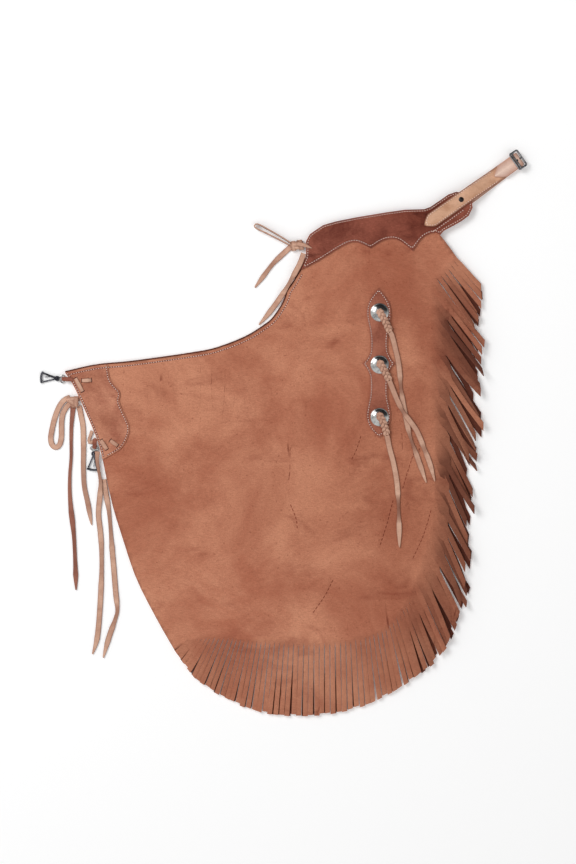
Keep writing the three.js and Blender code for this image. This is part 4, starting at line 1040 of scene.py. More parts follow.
def makeRibbon(name, path, half, thickness, material, node):
    lengths = [0.0]
    for a, b in zip(path, path[1:]):
        lengths.append(lengths[-1] + (b - a).length)
    count = len(path) - 1

    def section(share):
        return flatSection(2 * half(lengths[round(share * count)], lengths[-1]), thickness), 0

    bm = bmesh.new()
    sweep(bm, path, section, across=Vector((0, 1, 0)))
    # strap edges darkened: their own edge colour, with painted edge shade
    edgeAndShade = bm.verts.layers.float.get("edgeAndShade")
    for vert in bm.verts:
        nearest = min(range(len(path)), key=lambda k: (path[k].xz - vert.co.xz).length_squared)
        wide = half(lengths[nearest], lengths[-1])
        vert[edgeAndShade] = 1.0 if abs(vert.co.y) > wide - 0.0009 else 0.0
    bmesh.ops.transform(bm, matrix=strapPlace, verts=bm.verts[:])
    return makePiece(name, bm, material, replaces=[node])


strapPath = ribbonPath(buckleStrap["line"], 0.004, 0)
makeRibbon(
    "buckle_strap_dressed", strapPath, lambda at, whole: strapHalf(at, buckleStrap["point"], cut["strapWidth"]),
    cut["strapLeather"], leathers["strap"], "buckle_strap",
)
halfTurn = [
    (billet["turnRadius"] * math.cos(angle), billet["barHeight"] + billet["turnRadius"] * math.sin(angle))
    for angle in (math.radians(-90 + 15 * k) for k in range(13))
]
billetPath = ribbonPath(list(billet["line"]) + halfTurn + list(billet["tip"]), 0.0022, -1)
for spot in billetPath:
    if spot.z < billet["barHeight"]:
        spot.y = billet["askew"] * min(0, spot.x + 0.01)
makeRibbon(
    "billet_strap_dressed", billetPath,
    lambda at, whole: strapHalf(whole - at, billet["point"], cut["strapWidth"]),
    cut["strapLeather"], leathers["billet"], "billet_strap",
)
print("straps laid")


# Seams: each stitch is its own short thread, over a thin dark strip that paints the shade of the sunken seam groove
stitches = {"pitch": 0.0044, "length": 0.0029, "width": 0.0016, "height": 0.0012, "seamShadeWidth": 0.0021}
threadLook = {
    **laceLook, "light": colour(250, 228, 216), "dark": colour(232, 198, 182), "cloudScale": 60, "stain": 0.25,
    "stainColour": colour(190, 140, 118), "stainScale": 40, "napScale": 900, "roughness": 0.75,
}
seamShadeLook = {**laceLook, "light": colour(132, 70, 58), "dark": colour(104, 50, 42), "roughness": 0.9}
threadLeather = leather("waxed thread", threadLook)
seamShadeLeather = leather("painted shade of the seam groove", seamShadeLook)
threadSeams, seamShadeStrips = bmesh.new(), bmesh.new()


def stitchRow(points, height, closed=False, below=False, withSeamShade=True):
    spots = evenly(points, stitches["pitch"], closed)
    spots = spots + [spots[0]] if closed else spots
    lift = -1 if below else 1
    sunk = [Vector((p.x, p.y, height(p.x, p.y) - lift * 0.00006)) for p in spots]
    if withSeamShade:
        # a thin dark strip under the stitches: painted shade of the seam groove
        sweep(seamShadeStrips, sunk, lambda share: (flatSection(stitches["seamShadeWidth"], 0.0003), 0))
    for a, b in zip(sunk, sunk[1:]):
        middle = (a + b) / 2 + Vector((0, 0, lift * stitches["height"] * 0.2))
        run = b - a
        slope = math.atan2(run.z, run.xy.length)
        shape = (
            Matrix.Translation(middle) @ Matrix.Rotation(math.atan2(run.y, run.x), 4, "Z")
            @ Matrix.Rotation(-slope, 4, "Y")
            @ Matrix.Diagonal((stitches["length"] / 2, stitches["width"] / 2, stitches["height"] / 2, 1))
        )
        bmesh.ops.create_icosphere(threadSeams, subdivisions=1, radius=1, matrix=shape)


def strapTop(x, y):
    local = strapPlace.inverted() @ Vector((x, y, 0))
    before = max((p for p in strapPath if p.x <= local.x), key=lambda p: p.x, default=strapPath[0])
    after = min((p for p in strapPath if p.x > local.x), key=lambda p: p.x, default=strapPath[-1])
    share = (local.x - before.x) / max(after.x - before.x, 1e-6)
    return before.z + (after.z - before.z) * min(max(share, 0), 1) + cut["strapLeather"] / 2 + 0.0002


def inStrapFrame(along, across):
    return (strapPlace @ Vector((along, across, 0))).xy


seams = {
    "crotchInset": 0.0055,
    "yokeInset": 0.003,
    "patchInset": 0.0028,
    "tabLine": ((-0.196, -0.0175), (-0.16, -0.0175), (-0.128, -0.0172)),
}
stitchRow(seamLine(curveOf(legCut["crotch"], 160), seams["crotchInset"])[4:-3], faceOf)
yokeSeam = seamLine(evenly(yokeOutline, 0.002, True), -seams["yokeInset"], True)
stitchRow(yokeSeam, lambda x, y: onUpper(x, y) + cut["yokeLeather"], True)
cornerSide = joinRuns(*(curveOf(run, 40) for run in cornerCut["edge"]))
cornerSeams = (
    seamLine(cornerSide, -seams["patchInset"])[3:-3],
    seamLine(curveOf(legCut["thigh"], 60)[::-1], -seams["patchInset"])[3:-3],
)
conchoSeam = seamLine(evenly(conchoOutline, 0.002, True), seams["patchInset"], True)
for row in cornerSeams:
    stitchRow(row, lambda x, y: onUpper(x, y) + cut["patchLeather"])
stitchRow(conchoSeam, lambda x, y: onUpper(x, y) + cut["patchLeather"], True)
# the same rows under the lower leg
for row, leatherKey, around in (
    (yokeSeam, "yokeLeather", True), (conchoSeam, "patchLeather", True),
    (cornerSeams[0], "patchLeather", False), (cornerSeams[1], "patchLeather", False),
):
    wall = cut[leatherKey]
    stitchRow(row, lambda x, y, wall=wall: max(0.0009, underLower(x, y) - cut["clearance"] - wall), around, True)
# on the strap, round its pointed end, and beside it on the yoke's tab
edge = cut["strapWidth"] / 2 - buckleStrap["stitchInset"]
pointed = [
    (buckleStrap["stitchTo"], edge), (-0.1, edge), (-0.15, edge), (-0.184, edge), (-0.19, edge * 0.72),
    (buckleStrap["stitchFrom"], 0), (-0.19, -edge * 0.72), (-0.184, -edge), (-0.15, -edge), (-0.1, -edge),
    (buckleStrap["stitchTo"], -edge),
]
stitchRow([inStrapFrame(a, c) for a, c in pointed], strapTop, withSeamShade=False)
stitchRow([inStrapFrame(a, c) for a, c in seams["tabLine"]], lambda x, y: onUpper(x, y) + cut["yokeLeather"])
scars = {
    "width": 0.0016,
    "lines": (
        ((0.2305, -0.026), (0.218, -0.064), (0.2075, -0.0995)), ((0.135, -0.005), (0.127, -0.03), (0.1165, -0.051)), ((0.1917, -0.117), (0.182, -0.155), (0.169, -0.196)),
        ((0.258, -0.1345), (0.245, -0.178), (0.225, -0.222)), ((0.0866, -0.257), (0.072, -0.285), (0.0515, -0.3146)),
        ((0.012, -0.125), (0.022, -0.15), (0.024, -0.17)),
    ),
}
scarMarks = bmesh.new()
for line in scars["lines"]:
    marks = evenly([throughPoints([Vector(p) for p in line], k / 30) for k in range(31)], 0.0011)
    for start in range(0, len(marks) - 5, 7):
        dash = [Vector((q.x, q.y, faceOf(q.x, q.y) + 0.00002)) for q in marks[start:start + 6]]
        sweep(
            scarMarks, dash,
            lambda share: (flatSection(scars["width"] * (0.35 + 0.65 * math.sin(math.pi * (share * 0.8 + 0.1))), 0.0003), 0),
        )
makePiece("hide_scars", scarMarks, leather("old scars", {**legLook, "light": colour(142, 74, 55), "dark": colour(112, 54, 40), "edgeAndShade": 0}))
makePiece("seam_threads", threadSeams, threadLeather, sharp=80)
makePiece("seam_shade_lines", seamShadeStrips, seamShadeLeather)
print("seams stitched")


# Metal: polished or dark, with smudges and fine scratches
def metal(name, look):
    material, nodes, links, shader = blankMaterial(name)
    place3 = nodes.new("ShaderNodeTexCoord").outputs["Object"]
    smudge = noiseNode(nodes, links, place3, look["smudgeScale"], 4, 0.6, 0.5)
    links.new(
        mixNode(nodes, links, rampNode(nodes, links, smudge, 0.35, 0.7), look["light"], look["dark"]),
        shader.inputs["Base Color"],
    )
    rough = nodes.new("ShaderNodeMapRange")
    rough.inputs["To Min"].default_value = look["roughness"] * 0.7
    rough.inputs["To Max"].default_value = look["roughness"] * 1.5
    links.new(smudge, rough.inputs["Value"])
    links.new(rough.outputs["Result"], shader.inputs["Roughness"])
    shader.inputs["Metallic"].default_value = 1.0
    scratch = noiseNode(nodes, links, turnedVector(nodes, links, place3, 37, (1, 12, 1)), look["scratchScale"], 3, 0.6)
    bump = nodes.new("ShaderNodeBump")
    bump.inputs["Strength"].default_value = look["scratch"]
    bump.inputs["Distance"].default_value = 0.0001
    links.new(scratch, bump.inputs["Height"])
    links.new(bump.outputs["Normal"], shader.inputs["Normal"])
    return material


nickelLook = {
    "light": colour(206, 205, 202), "dark": colour(142, 142, 142), "roughness": 0.15, "smudgeScale": 120,
    "scratch": 0.25, "scratchScale": 400,
}
gunmetalLook = {**nickelLook, "light": colour(104, 104, 110), "dark": colour(42, 42, 48), "roughness": 0.22}
# dark metal for the rivet, also used for the painted shade in the billet's hole
blackMetalAndHoleShadeLook = {**nickelLook, "light": colour(60, 56, 56), "dark": colour(30, 26, 28), "roughness": 0.35}
nickel = metal("polished nickel", nickelLook)
buckleMetal = metal("buckle metal", {**nickelLook, "light": colour(190, 190, 192), "dark": colour(92, 92, 96), "roughness": 0.12})
gunmetal = metal("dark snap metal", gunmetalLook)
blackMetalAndHoleShade = metal("black metal and hole shade", blackMetalAndHoleShadeLook)


def spinProfile(bm, profile, centre, steps=48):
    verts = [bm.verts.new((centre[0] + r, centre[1], centre[2] + h)) for r, h in profile]
    edges = [bm.edges.new(pair) for pair in zip(verts, verts[1:])]
    bmesh.ops.spin(
        bm, geom=verts + edges, cent=centre, axis=(0, 0, 1), dvec=(0, 0, 0), angle=math.tau, steps=steps,
        use_merge=True, use_duplicate=False,
    )
    bmesh.ops.remove_doubles(bm, verts=bm.verts[:], dist=1e-6)


# Conchos: domed, with a rolled lip, and a wall thick enough to close them at the back
concho = {
    "radius": 0.015875,
    "height": 0.0046,
    "back": 0.0141,
    # shares of the radius and of the height, from the middle of the back round to the crown
    "profile": (
        (0, 0), (0.9, 0), (0.975, 0.02), (1, 0.09), (1, 0.17), (0.985, 0.235), (0.955, 0.26), (0.925, 0.25),
        (0.9, 0.26), (0.87, 0.33), (0.8, 0.5), (0.7, 0.665), (0.58, 0.8), (0.44, 0.89), (0.3, 0.94), (0.29, 0.985),
        (0.2, 1), (0, 1),
    ),
}
conchoSpots = [place(*spot) for spot in conchoPatchCut["conchos"]]
for number, spot in enumerate(conchoSpots, 1):
    for side in ("upper", "lower"):
        bm = bmesh.new()
        profile = [(r * concho["radius"], h * concho["height"]) for r, h in concho["profile"]]
        spinProfile(bm, profile, (spot.x, spot.y, concho["back"]))
        if side == "lower":
            flip = Matrix.Translation((0, 0, concho["height"] + concho["back"])) @ Matrix.Diagonal((1, 1, -1, 1))
            bmesh.ops.transform(bm, matrix=flip, verts=bm.verts[:])
        makePiece(f"{side}_concho_{number}_dressed", bm, nickel, replaces=[f"{side}_concho_{number}"])
print("conchos spun")


# A band of lace lying over something, from side to side
def bandOver(bm, centre, angle, reach, rise, base, width, shift=0.0, skew=0.0, thickness=0.0018):
    angle = math.radians(angle)
    along, across = Vector((math.cos(angle), math.sin(angle), 0)), Vector((-math.sin(angle), math.cos(angle), 0))
    path = []
    for k in range(17):
        turn = math.pi * (-0.12 + 1.24 * k / 16)
        level = Vector((0, 0, base + rise * math.sin(turn)))
        path.append(Vector((*centre, 0)) + along * (reach * math.cos(turn)) + across * (shift + skew * math.cos(turn)) + level)
    sweep(bm, path, lambda share: (flatSection(width, thickness), 0), across=across)


# Braids of three strands over the conchos, with a woven button at the top
braid = {
    "routes": (
        ((-0.067, 0.112, 1), (0.065, -0.109, 1), (0.27, -0.44, 0.66), (0.43, -0.77, 0.03), (0.562, -1.073, 0)),
        ((-0.045, 0.2, 1), (0.087, -0.05, 1), (0.263, -0.352, 0.8), (0.408, -0.63, 0.03), (0.518, -0.875, 0)),
        ((-0.077, 0.23, 1), (0.055, -0.018, 1), (0.21, -0.349, 0.86), (0.32, -0.677, 0.03), (0.386, -0.982, 0)),
    ),
    "onPatch": 0.0171,
    "over": 0.0218,
    "turn": 0.0235,
    "sway": 0.0041,
    "rise": 0.0016,
    "strand": 0.0054,
    "strandThickness": 0.0017,
    "button": ((20, 0.0054), (80, 0.0058), (140, 0.0052)),
    "buttonBase": 0.0192,
    "buttonRise": 0.0040,
}
for number, (route, spot) in enumerate(zip(braid["routes"], conchoSpots), 1):
    points = [
        (
            spot.x + a * 2 * concho["radius"], spot.y + b * 2 * concho["radius"],
            braid["onPatch"] + rise * (braid["over"] - braid["onPatch"]),
        )
        for a, b, rise in route
    ]
    path = routeOf(points, 0.0009)
    bm = bmesh.new()
    for strand in range(3):
        woven = []
        for k, point in enumerate(path):
            before, after = path[max(0, k - 1)], path[min(len(path) - 1, k + 1)]
            run = (after - before).normalized()
            sideways = Vector((0, 0, 1)).cross(run).normalized()
            phase = math.tau * (k * 0.0009 / braid["turn"] + strand / 3)
            ease = min(1, k / 5, (len(path) - 1 - k) / 5 + 0.35)
            woven.append(
                point + sideways * (braid["sway"] * math.sin(phase) * ease)
                + run.cross(sideways) * (braid["rise"] * math.sin(2 * phase) * ease)
            )
        sweep(bm, woven, lambda share: (flatSection(braid["strand"], braid["strandThickness"]), 0))
    for angle, reach in braid["button"]:
        bandOver(bm, spot, angle, reach, braid["buttonRise"], braid["buttonBase"], 0.0048, thickness=0.0016)
    spinProfile(
        bm, ((0, 0.0002), (0.0014, 0), (0.0017, 0.0005), (0.0011, 0.0012), (0, 0.0014)),
        (spot.x + 0.0004, spot.y + 0.0003, braid["buttonBase"] + braid["buttonRise"] + 0.0002), 14,
    )
    makePiece(f"upper_braid_{number}_dressed", bm, leathers["lace"], replaces=[f"upper_braid_{number}"])
print("braids woven")


# Knots of the ties: bands of lace over a core. Each band: angle, reach, rise, base, width, shift, skew
knots = {
    "waist_tie_knot": {
        "centre": (0.0232, 0.3281), "core": (0.0102, 0.0071, 0.0042), "coreHeight": 0.0073,
        "bands": (
            (96, 0.0078, 0.0056, 0.0046, 0.0088, 0.0058, 0.0), (52, 0.0082, 0.0058, 0.0044, 0.0085, 0.0012, 0.0),
            (8, 0.0112, 0.0066, 0.0046, 0.0088, 0.0022, -0.001), (100, 0.0082, 0.0070, 0.0048, 0.0085, -0.0068, 0.0006),
        ),
    },
    "thigh_tie_knot": {
        "centre": (-0.3679, 0.0552), "core": (0.0088, 0.0078, 0.0026), "coreHeight": 0.0056,
        "bands": (
            (6, 0.0104, 0.0036, 0.0042, 0.0085, 0.0044, 0.0), (118, 0.0088, 0.0032, 0.0042, 0.0085, 0.0030, 0.0),
            (-38, 0.0096, 0.0038, 0.0042, 0.0082, -0.0022, 0.0010), (84, 0.009, 0.0041, 0.0042, 0.0085, -0.0046, 0.0),
        ),
    },
}
for knotName, knot in knots.items():
    bm = bmesh.new()
    coreShape = Matrix.Translation((*knot["centre"], knot["coreHeight"])) @ Matrix.Diagonal((*knot["core"], 1))
    bmesh.ops.create_icosphere(bm, subdivisions=3, radius=1, matrix=coreShape)
    for band in knot["bands"]:
        bandOver(bm, knot["centre"], *band)
    makePiece(knotName + "_dressed", bm, leathers["lace"], replaces=[knotName])

tieWrap = {
    "points": ((0.0243, 0.3306, 0.0144), (0.034, 0.3289, 0.0144), (0.041, 0.3266, 0.0128), (0.0489, 0.3232, 0.0114)),
    "width": 0.007, "point": 0.012, "thickness": 0.0019,
}
bm = bmesh.new()
wrapPath = routeOf(tieWrap["points"], 0.0012)
wrapLength = lengthOf(wrapPath)


def wrapSection(share):
    narrow = min(1, 0.16 + 0.84 * ((1 - share) * wrapLength / tieWrap["point"]) ** 0.85)
    return flatSection(tieWrap["width"] * narrow, tieWrap["thickness"]), 0.35 * math.sin(share * 3)


sweep(bm, wrapPath, wrapSection)
makePiece("waist_tie_wrap_dressed", bm, leathers["lace"], replaces=["waist_tie_wrap"])
print("knots tied")


# Lacing through the corner patch: short bands that dive into slits
lacing = {
    "bands": {
        "thigh_lacing_1": ((0.0239, 0.6418), (0.0406, 0.6171), 0.007),
        "thigh_lacing_2": ((0.0395, 0.6375), (0.0615, 0.6385), 0.007),
        "knee_lacing_1": ((0.085, 0.524), (0.099, 0.507), 0.008),
        "knee_lacing_2": ((0.108, 0.5235), (0.125, 0.514), 0.007),
    },
    "thickness": 0.0019,
    "arch": 0.0007,
    "slit": (0.0012, 0.0046, 0.0004),
}
slitShades = bmesh.new()
for laceNode, (start, end, width) in lacing["bands"].items():
    a, b = place(*start), place(*end)
    path = []
    for k in range(15):
        share = k / 14
        spot = a.lerp(b, share)
        ground = onUpper(spot.x, spot.y) + cut["patchLeather"]
        dive = max(0, abs(share - 0.5) * 2 - 0.62) / 0.38
        path.append(Vector((spot.x, spot.y, ground + 0.0012 + lacing["arch"] * math.sin(math.pi * share) - 0.0019 * dive**1.6)))
    bm = bmesh.new()

    def bandSection(share, width=width):
        return flatSection(width * (0.82 + 0.18 * math.sin(math.pi * min(max(share, 0.08), 0.92))), lacing["thickness"]), 0

    sweep(bm, path, bandSection)
    makePiece(laceNode + "_dressed", bm, leathers["lace"], replaces=[laceNode])
    heading = math.atan2((b - a).y, (b - a).x)
    # dark flat spots at both ends of each band: painted shade inside the slits
    for spot, outward in ((a, -1), (b, 1)):
        at = spot + (b - a).normalized() * outward * 0.0006
        slitShape = (
            Matrix.Translation((at.x, at.y, onUpper(at.x, at.y) + cut["patchLeather"]))
            @ Matrix.Rotation(heading, 4, "Z") @ Matrix.Diagonal((*lacing["slit"], 1))
        )
        bmesh.ops.create_icosphere(slitShades, subdivisions=2, radius=1, matrix=slitShape)
makePiece("lacing_slit_shades", slitShades, leather("painted shade in the slits", {**seamShadeLook, "light": colour(84, 34, 26), "dark": colour(58, 22, 18)}))
print("lacing in place")


# Buckle: a bent frame with a second near bar, the centre bar hung below it, and a tongue
buckle = {
    "endReach": 0.0078, "sideReach": 0.0156, "bar": 0.0035, "nearHeight": 0.0126, "farHeight": 0.0094,
    "secondBar": 0.0040, "centreBar": 0.0022, "barHeight": 0.0055, "corner": 0.0022,
    "tongueWidth": 0.0024, "tongueThickness": 0.0013, "loopRadius": 0.00195,
    "tongueLine": (
        (0.0016, 0.0063), (0.0028, 0.0084), (0.0043, 0.0104), (0.0056, 0.0115), (0.0068, 0.0117), (0.0085, 0.0115),
    ),
}


def frameHeight(along):
    share = (along + buckle["endReach"]) / (2 * buckle["endReach"])
    return buckle["nearHeight"] + (buckle["farHeight"] - buckle["nearHeight"]) * share


bm = bmesh.new()
ring = []
for cornerX, cornerY, start in ((1, 1, 0), (-1, 1, 90), (-1, -1, 180), (1, -1, 270)):
    for k in range(6):
        angle = math.radians(start + 18 * k)
        x = cornerX * (buckle["endReach"] - buckle["corner"]) + buckle["corner"] * math.cos(angle)
        y = cornerY * (buckle["sideReach"] - buckle["corner"]) + buckle["corner"] * math.sin(angle)
        ring.append(Vector((x, y, frameHeight(x))))
sweep(bm, ring, lambda share: (roundSection(buckle["bar"], buckle["bar"] * 0.94), 0), closed=True)
secondX = -buckle["endReach"] + buckle["secondBar"]
sweep(
    bm, [Vector((secondX, y * buckle["sideReach"] / 6, frameHeight(secondX))) for y in range(-6, 7)],
    lambda share: (roundSection(buckle["bar"] * 0.9, buckle["bar"] * 0.9), 0), across=Vector((1, 0, 0)),
)
hung = [
    Vector((0, side, height)) for side, height in (
        (0.0156, 0.011), (0.0156, 0.0085), (0.0152, 0.0066), (0.014, 0.0056), (0.012, 0.0055), (0, 0.0055),
        (-0.012, 0.0055), (-0.014, 0.0056), (-0.0152, 0.0066), (-0.0156, 0.0085), (-0.0156, 0.011),
    )
]
sweep(bm, hung, lambda share: (roundSection(buckle["centreBar"], buckle["centreBar"]), 0), across=Vector((1, 0, 0)))
bmesh.ops.transform(bm, matrix=strapPlace, verts=bm.verts[:])
makePiece("buckle_frame_dressed", bm, buckleMetal, replaces=["buckle_frame"])

bm = bmesh.new()
loop = [
    Vector((buckle["loopRadius"] * math.cos(math.radians(a)), 0, buckle["barHeight"] + buckle["loopRadius"] * math.sin(math.radians(a))))
    for a in range(0, 360, 18)
]
sweep(
    bm, loop, lambda share: (flatSection(buckle["tongueWidth"], 0.001), 0), across=Vector((0, 1, 0)), closed=True,
)
arm = ribbonPath(buckle["tongueLine"], 0.0007)
sweep(
    bm, arm, lambda share: (flatSection(buckle["tongueWidth"] * (1 - 0.35 * share**3), buckle["tongueThickness"]), 0),
    across=Vector((0, 1, 0)),
)
bmesh.ops.transform(bm, matrix=strapPlace, verts=bm.verts[:])
makePiece("buckle_tongue_dressed", bm, gunmetal, replaces=["buckle_tongue"])

rivet = {"along": -0.122, "base": 0.0155, "profile": (
    (0, 0), (0.0043, 0), (0.0045, 0.0004), (0.0044, 0.0008), (0.0037, 0.0013), (0.0026, 0.0016), (0.0012, 0.0018),
    (0, 0.0018),
)}
bm = bmesh.new()
spinProfile(bm, rivet["profile"], (*inStrapFrame(rivet["along"], 0), rivet["base"]), 28)
makePiece("strap_rivet_dressed", bm, blackMetalAndHoleShade, replaces=["strap_rivet"])
# a dark disc sunk in the billet's hole: painted shade in the hole
bm = bmesh.new()
holeSpot = inStrapFrame(billet["holeAlong"], 0)
spinProfile(
    bm, ((0, -0.0004), (0.0015, -0.0004), (0.0017, 0.0001), (0.0014, 0.0002), (0.0011, 0.0001), (0, 0.0)),
    (holeSpot.x, holeSpot.y, billet["barHeight"] + billet["turnRadius"] + cut["strapLeather"] / 2 - 0.0001), 20,
)
makePiece("billet_hole_shade", bm, blackMetalAndHoleShade)
print("buckle fitted")


# Snap hooks: local x runs from the pin to the nose, side is 1 where the gate lies on +y
snap = {
    "hooks": {
        "thigh": {"pin": (-0.39643, 0.09568), "angle": 3.07, "side": 1, "rise": 0.0052, "reach": 0.0145},
        "knee": {"pin": (-0.33205, -0.036156), "angle": -1.66, "side": -1, "rise": 0.007, "reach": 0.013},
    },
    "noseMiddle": 0.0284, "noseAngle": 0.3576, "gateAngle": 0.3076, "gateReach": 0.0262,
    "bar": 0.0038, "thickness": 0.005, "cheek": 0.0046, "hub": 0.0036,
    "gateWidth": 0.0026, "gateThickness": 0.0024, "leaf": 0.0009,
    "eyeNear": -0.006, "eyeFar": -0.0121, "eyeHalf": 0.0065, "eyeBar": 0.0021, "eyeMiddle": 0.0031,
    "hangerWidth": 0.0076, "hangerLeather": 0.0013, "hangerHigh": 0.00985,
}


def castSection(width, height, sides=16):
    # squarish with soft corners, as cast metal is
    points = []
    for k in range(sides):
        c, s = math.cos(math.tau * (k + 0.5) / sides), math.sin(math.tau * (k + 0.5) / sides)
        points.append((math.copysign(abs(c) ** 0.6, c) * width / 2, math.copysign(abs(s) ** 0.6, s) * height / 2))
    return points


for hookName, hook in snap["hooks"].items():
    seat = Matrix.Translation((*hook["pin"], 0)) @ Matrix.Rotation(hook["angle"], 4, "Z")
    side, middle = hook["side"], snap["thickness"] / 2
    back = side * (0.06 - snap["noseAngle"])
    path = [Vector((r * math.cos(back), r * math.sin(back), middle)) for r in (0.0093, 0.012, 0.016, 0.020, 0.024, 0.0264)]
    for k in range(13):
        angle = -side * snap["noseAngle"] * 0.93 + side * snap["noseAngle"] * 1.93 * k / 12
        path.append(Vector((snap["noseMiddle"] * math.cos(angle), snap["noseMiddle"] * math.sin(angle), middle)))
    bm = bmesh.new()
    sweep(bm, path, lambda share: (castSection(snap["bar"] * (1 - 0.2 * max(0, 1 - share * 3)), snap["thickness"] * (1 - 0.1 * share)), 0))
    # the two cheeks and the arms that join them to the bar, clear of the gate between them
    for low, high in ((0, 0.001), (0.004, 0.005)):
        arm = [Vector((r * math.cos(back), r * math.sin(back), (low + high) / 2)) for r in (0.001, 0.006, 0.0112)]
        sweep(bm, arm, lambda share: (castSection(0.0036, 0.00098), 0))
        spinProfile(
            bm, ((0, low), (snap["cheek"] - 0.0003, low), (snap["cheek"], low + 0.0003), (snap["cheek"], high - 0.0003),
                 (snap["cheek"] - 0.0003, high), (0, high)), (0, 0, 0), 28,
        )
    # the pin, its ends spread over the cheeks
    spinProfile(
        bm, ((0, 0), (0.0013, 0.0001), (0.0013, 0.0049), (0.0021, 0.005), (0.0019, 0.0053), (0.001, 0.0056), (0, 0.0057)),
        (0, 0, -0.0001), 20,
    )
    leafAngle = side * 0.112
    leafPath = [
        Vector((
            0.0066 + t * 0.016 * math.cos(leafAngle), -0.003 * side + t * 0.016 * math.sin(leafAngle) + side * 0.0001 * math.sin(math.pi * t),
            middle,
        )) for t in (0, 0.1, 0.25, 0.4, 0.55, 0.7, 0.85, 1)
    ]
    sweep(bm, leafPath, lambda share: (castSection(snap["leaf"], 0.003, 12), 0))
    bmesh.ops.transform(bm, matrix=seat, verts=bm.verts[:])
    makePiece(f"{hookName}_snap_body_dressed", bm, gunmetal, replaces=[f"{hookName}_snap_body"])

    # the bright eye behind the hub
    bm = bmesh.new()
    ring = []
    for x, y in ((snap["eyeNear"], 0.0024), (snap["eyeNear"] - 0.0006, 0.005), (-0.0082, snap["eyeHalf"]), (-0.0108, snap["eyeHalf"]),
                 (snap["eyeFar"], 0.0055), (snap["eyeFar"], 0.003), (snap["eyeFar"], 0)):
        ring.append((x, y))
    ring += [(x, -y) for x, y in ring[-2::-1]]
    marks = [Vector((x, y, snap["eyeMiddle"])) for x, y in ring]
    smooth = evenly([throughPoints(marks, k / 120) for k in range(121)], 0.0011) 
    sweep(bm, smooth + [smooth[0] + Vector((0.0, -0.0004, 0))], lambda share: (roundSection(snap["eyeBar"], snap["eyeBar"]), 0))
    neck = [Vector((x, 0, snap["eyeMiddle"])) for x in (-0.0068, -0.006, -0.005, -0.0042, -0.0036)]
    sweep(bm, neck, lambda share: (castSection(0.0052 + 0.001 * share, 0.0024, 16), 0))
    bmesh.ops.transform(bm, matrix=seat, verts=bm.verts[:])
    makePiece(f"{hookName}_snap_eye", bm, nickel)

    # the sprung gate turns on the pin
    bm = bmesh.new()
    gate = side * snap["gateAngle"]
    gatePath = [Vector((r * math.cos(gate), r * math.sin(gate), middle)) for r in (0.002, 0.006, 0.01, 0.015, 0.02, 0.0245, 0.0257, snap["gateReach"])]
    sweep(bm, gatePath, lambda share: (castSection(snap["gateWidth"] * (1 if share < 0.9 else 0.7), snap["gateThickness"]), 0))
    half = snap["gateThickness"] / 2
    spinProfile(
        bm, ((0.0016, middle - half), (snap["hub"] - 0.0002, middle - half), (snap["hub"], middle - half + 0.0002),
             (snap["hub"], middle + half - 0.0002), (snap["hub"] - 0.0002, middle + half), (0.0016, middle + half),
             (0.0016, middle - half)), (0, 0, 0), 28,
    )
    bmesh.ops.transform(bm, matrix=seat, verts=bm.verts[:])
    makePiece(
        f"{hookName}_snap_gate_dressed", bm, gunmetal, body=f"{hookName}_gate",
        replaces=[f"{hookName}_snap_gate"],
    )

    # the thong through the eye, rising onto the leather
    radius, centreHeight = 0.00205, 0.0031
    line = [(-0.0157, 0.00105), (-0.0135, 0.00105)]
    line += [(-0.011 + radius * math.cos(math.radians(a)), centreHeight + radius * math.sin(math.radians(a))) for a in range(-90, 91, 30)]
    line += [(-0.0137, 0.00515), (-0.0132 - hook["rise"] * 0.75, 0.0082), (-0.0132 - hook["rise"] * 1.1, snap["hangerHigh"]),
             (-0.0132 - hook["reach"], snap["hangerHigh"])]
    bm = bmesh.new()
    sweep(
        bm, ribbonPath(line, 0.001),
        lambda share: (flatSection(snap["hangerWidth"] * (1 if share > 0.5 else 0.94), snap["hangerLeather"]), 0),
        across=Vector((0, 1, 0)),
    )
    bmesh.ops.transform(bm, matrix=seat, verts=bm.verts[:])
    makePiece(
        f"{hookName}_snap_hanger_dressed", bm, leathers["thong"],
        replaces=[f"{hookName}_snap_hanger"],
    )
print("snap hooks fitted")


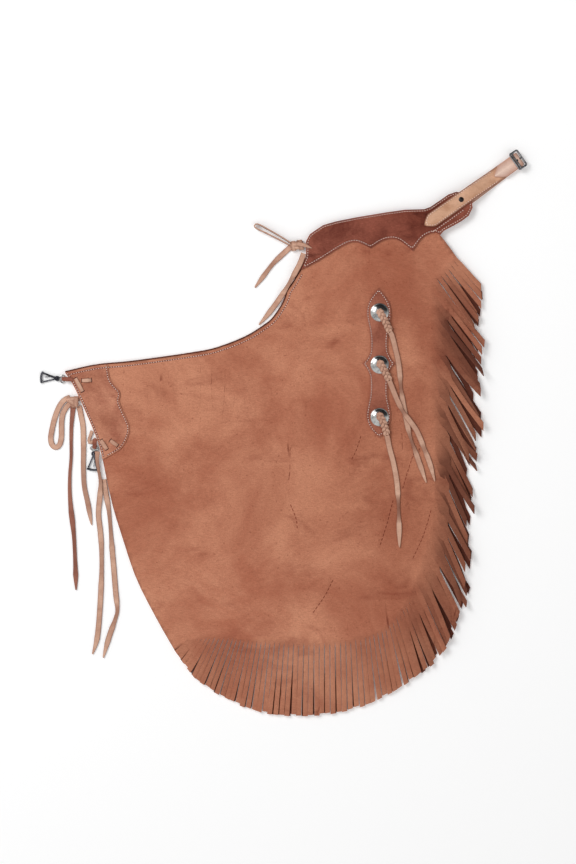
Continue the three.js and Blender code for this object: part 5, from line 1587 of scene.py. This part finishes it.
# Floor and light
stage = {
    "floorSize": 9, "floor": colour(254, 254, 254), "floorGlow": 0.09, "world": 0.78, "key": 90, "fill": 12,
    # the dark side of the room, which shows in the metal
    "darkSide": (0.35, 0.8, 0.48), "darkFrom": 0.5, "darkTo": 0.76, "darkStrength": 0.05,
}
scene.view_settings.view_transform = "Standard"

bm = bmesh.new()
bmesh.ops.create_grid(bm, x_segments=2, y_segments=2, size=stage["floorSize"] / 2)
floorMesh = bpy.data.meshes.new("floor")
bm.to_mesh(floorMesh)
bm.free()
floorMaterial, floorNodes, floorLinks, floorShader = blankMaterial("pale floor")
floorShader.inputs["Base Color"].default_value = stage["floor"]
floorShader.inputs["Roughness"].default_value = 1.0
floorShader.inputs["Emission Color"].default_value = (1, 1, 1, 1)
floorShader.inputs["Emission Strength"].default_value = stage["floorGlow"]
floorMesh.materials.append(floorMaterial)
floorObject = bpy.data.objects.new("floor", floorMesh)
scene.collection.objects.link(floorObject)
floorObject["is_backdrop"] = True

world = bpy.data.worlds.new("studio")
world.use_nodes = True
skyNodes, skyLinks = world.node_tree.nodes, world.node_tree.links
facing = skyNodes.new("ShaderNodeVectorMath")
facing.operation = "DOT_PRODUCT"
facing.inputs[1].default_value = stage["darkSide"]
skyLinks.new(skyNodes.new("ShaderNodeTexCoord").outputs["Generated"], facing.inputs[0])
towards = rampNode(skyNodes, skyLinks, facing.outputs["Value"], stage["darkFrom"], stage["darkTo"])
dark = (*[stage["darkStrength"]] * 3, 1)
skyLinks.new(mixNode(skyNodes, skyLinks, towards, (1, 1, 1, 1), dark), skyNodes["Background"].inputs["Color"])
skyNodes["Background"].inputs["Strength"].default_value = stage["world"]
scene.world = world


def softbox(name, spot, aim, size, power):
    data = bpy.data.lights.new(name, "AREA")
    data.shape = "DISK"
    data.size = size
    data.energy = power
    lamp = bpy.data.objects.new(name, data)
    lamp.location = spot
    lamp.rotation_euler = (Vector(aim) - Vector(spot)).to_track_quat("-Z", "Y").to_euler()
    scene.collection.objects.link(lamp)


softbox("key", (-2.2, 1.8, 3.2), (0, 0, 0), 2.2, stage["key"])
softbox("fill", (2.4, -1.6, 3.4), (0, 0, 0), 2.6, stage["fill"])
print("floor and lights set")

low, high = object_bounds()
